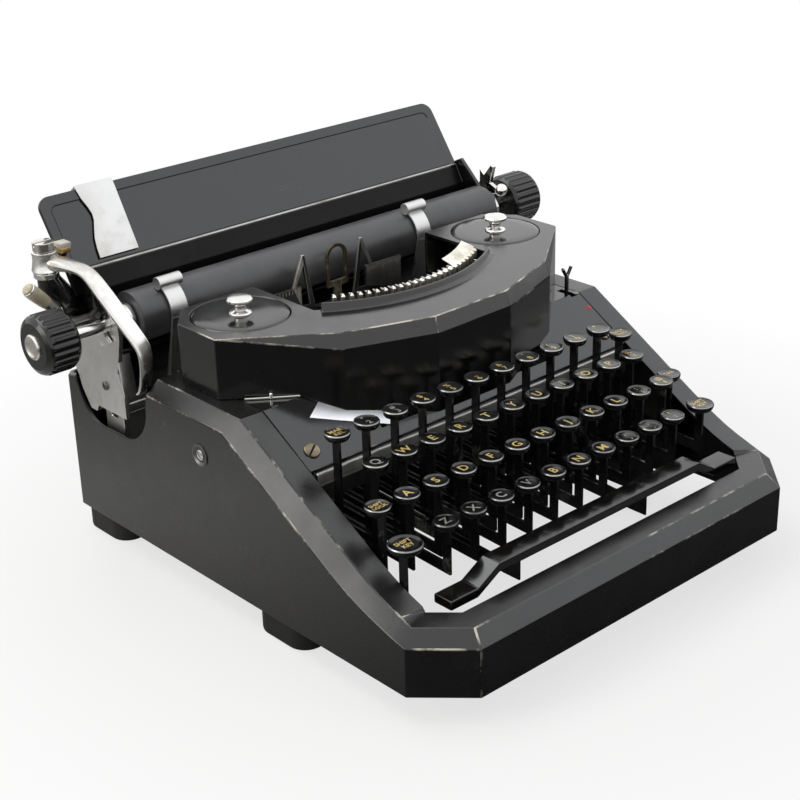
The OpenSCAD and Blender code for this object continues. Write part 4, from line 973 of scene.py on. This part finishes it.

# Return lever: a forged strap on a turned hub, twisted down past the platen's end and bent
# to a finger piece with a curled tip. Nickel plated, the hub in a lighter copy of the plating and the strap in a darker
# one, as painted light and shade.
# Lit and shaded copies of one plating: the hub's is painted lighter, the strap's darker.
hub_plate_painted_light = plated("hub_plate_painted_light", (0.88, 0.87, 0.845), (0.46, 0.42, 0.36), 0.18, 1.02)
strap_plate_painted_shade = plated("strap_plate_painted_shade", (0.66, 0.65, 0.625), (0.40, 0.36, 0.31), 0.18, 0.98)
strap_stations = (
    # middle, way across, tilt, width, thickness
    ((-157.0, 128.0, 171.4), (0.786, 0.619), 0, 12.8, 9.4), ((-152.4, 122.2, 170.4), (0.786, 0.619), 0, 13.0, 7.0),
    ((-148.2, 117.0, 169.2), (0.83, 0.56), 6, 12.6, 4.6), ((-144.8, 112.6, 167.8), (0.88, 0.47), 14, 12.0, 3.2),
    ((-142.4, 108.0, 164.6), (0.95, 0.32), 38, 11.2, 2.8), ((-140.6, 101.6, 157.2), (1, 0), 47, 10.6, 2.6),
    ((-137.6, 92.0, 146.0), (1, 0), 48, 10.4, 2.6), ((-134.8, 82.6, 135.4), (1, 0), 49, 10.0, 2.6),
    ((-133.3, 78.2, 129.8), (1, 0), 58, 9.2, 2.6), ((-133.2, 76.6, 123.4), (1, 0), 86, 8.2, 2.5),
    ((-134.4, 76.6, 114.0), (1, 0), 92, 7.0, 2.4), ((-135.8, 77.3, 106.8), (1, 0), 102, 6.4, 2.2),
    ((-136.3, 79.5, 103.8), (1, 0), 145, 6.0, 2.0), ((-136.3, 82.0, 103.5), (1, 0), 195, 5.4, 1.8))
corners, sides = [], []
for middle, (across_x, across_y), tilt, width, thick in strap_stations:
    across = Vector((across_x, across_y, 0)).normalized()
    over = Vector((0, -math.sin(math.radians(tilt)), math.cos(math.radians(tilt))))
    over = (over - across * over.dot(across)).normalized()
    round_off = 0.28 * thick
    wide, deep = width / 2, thick / 2
    for a, b in ((wide - round_off, deep), (wide, deep - round_off), (wide, round_off - deep),
                 (wide - round_off, -deep), (round_off - wide, -deep), (-wide, round_off - deep),
                 (-wide, deep - round_off), (round_off - wide, deep)):
        corners.append((Vector(middle) + across * a + over * b) * mm)
for k in range(len(strap_stations) - 1):
    for j in range(8):
        sides.append((8 * k + j, 8 * k + (j + 1) % 8, 8 * k + 8 + (j + 1) % 8, 8 * k + 8 + j))
sides += [tuple(range(7, -1, -1)), tuple(range(len(corners) - 8, len(corners)))]
strap = new_piece("return_strap", corners, sides)
outward_normals()
soft = strap.modifiers.new("soft", "SUBSURF")
soft.levels = soft.render_levels = 2
bpy.ops.object.modifier_apply(modifier=soft.name)
bpy.ops.object.shade_smooth()
strap.data.materials.append(strap_plate_painted_shade)
hub_profile = [(4.2, 166.4), (7.2, 166.4), (7.5, 167.2), (7.0, 169.5), (6.5, 172.5), (6.5, 175.4), (6.8, 176.4),
               (6.7, 177.1), (6.3, 177.3), (4.2, 177.3), (4.2, 166.4)]
hub = put(turned("return_hub", hub_profile, hub_plate_painted_light, 56), (-157 * mm, 128 * mm, 0))
finish_piece(joined("return_strap", [strap, hub]), "line_lever", "bright", "return_lever")

# Paper release: a steel crank on the left end plate with a yellowed moulded tip pressed on.
cream_tip = painted("cream_tip", 130.0, 4.0, (0.66, 0.60, 0.44), (0.50, 0.43, 0.28), (0.25, 0.4))
dressed("paper_release", "release_crank", 0.0004, plain_steel, nickel, "paper_lever", "cream")
tip_profile = [(3.2, 9.0), (3.5, 9.3), (3.75, 12.0), (3.95, 17.0), (4.0, 20.0), (3.8, 22.4), (3.1, 24.0), (1.8, 24.9),
               (0, 25.2)]
tip = turned("release_tip", tip_profile, cream_tip, 32)
put(tip, (-158 * mm, 118.5 * mm, 146 * mm), Matrix.Rotation(math.radians(-44), 4, "Y"))
finish_piece(tip, "paper_lever", "cream")

# Carriage release: the nickelled fork with a ball at the right end.
dressed("carriage_release", "release_fork", 0.0005, nickel, nickel, "carriage_lever", "steel")

# Inside at the back: the mainspring drum that pulls the carriage, and the margin bell.
dressed("mainspring_drum", "spring_drum", 0.0005, plain_steel, nickel, "mainspring", "steel")
dressed("margin_bell", "bell_cup", 0.0004, nickel, nickel, "frame", "bright")
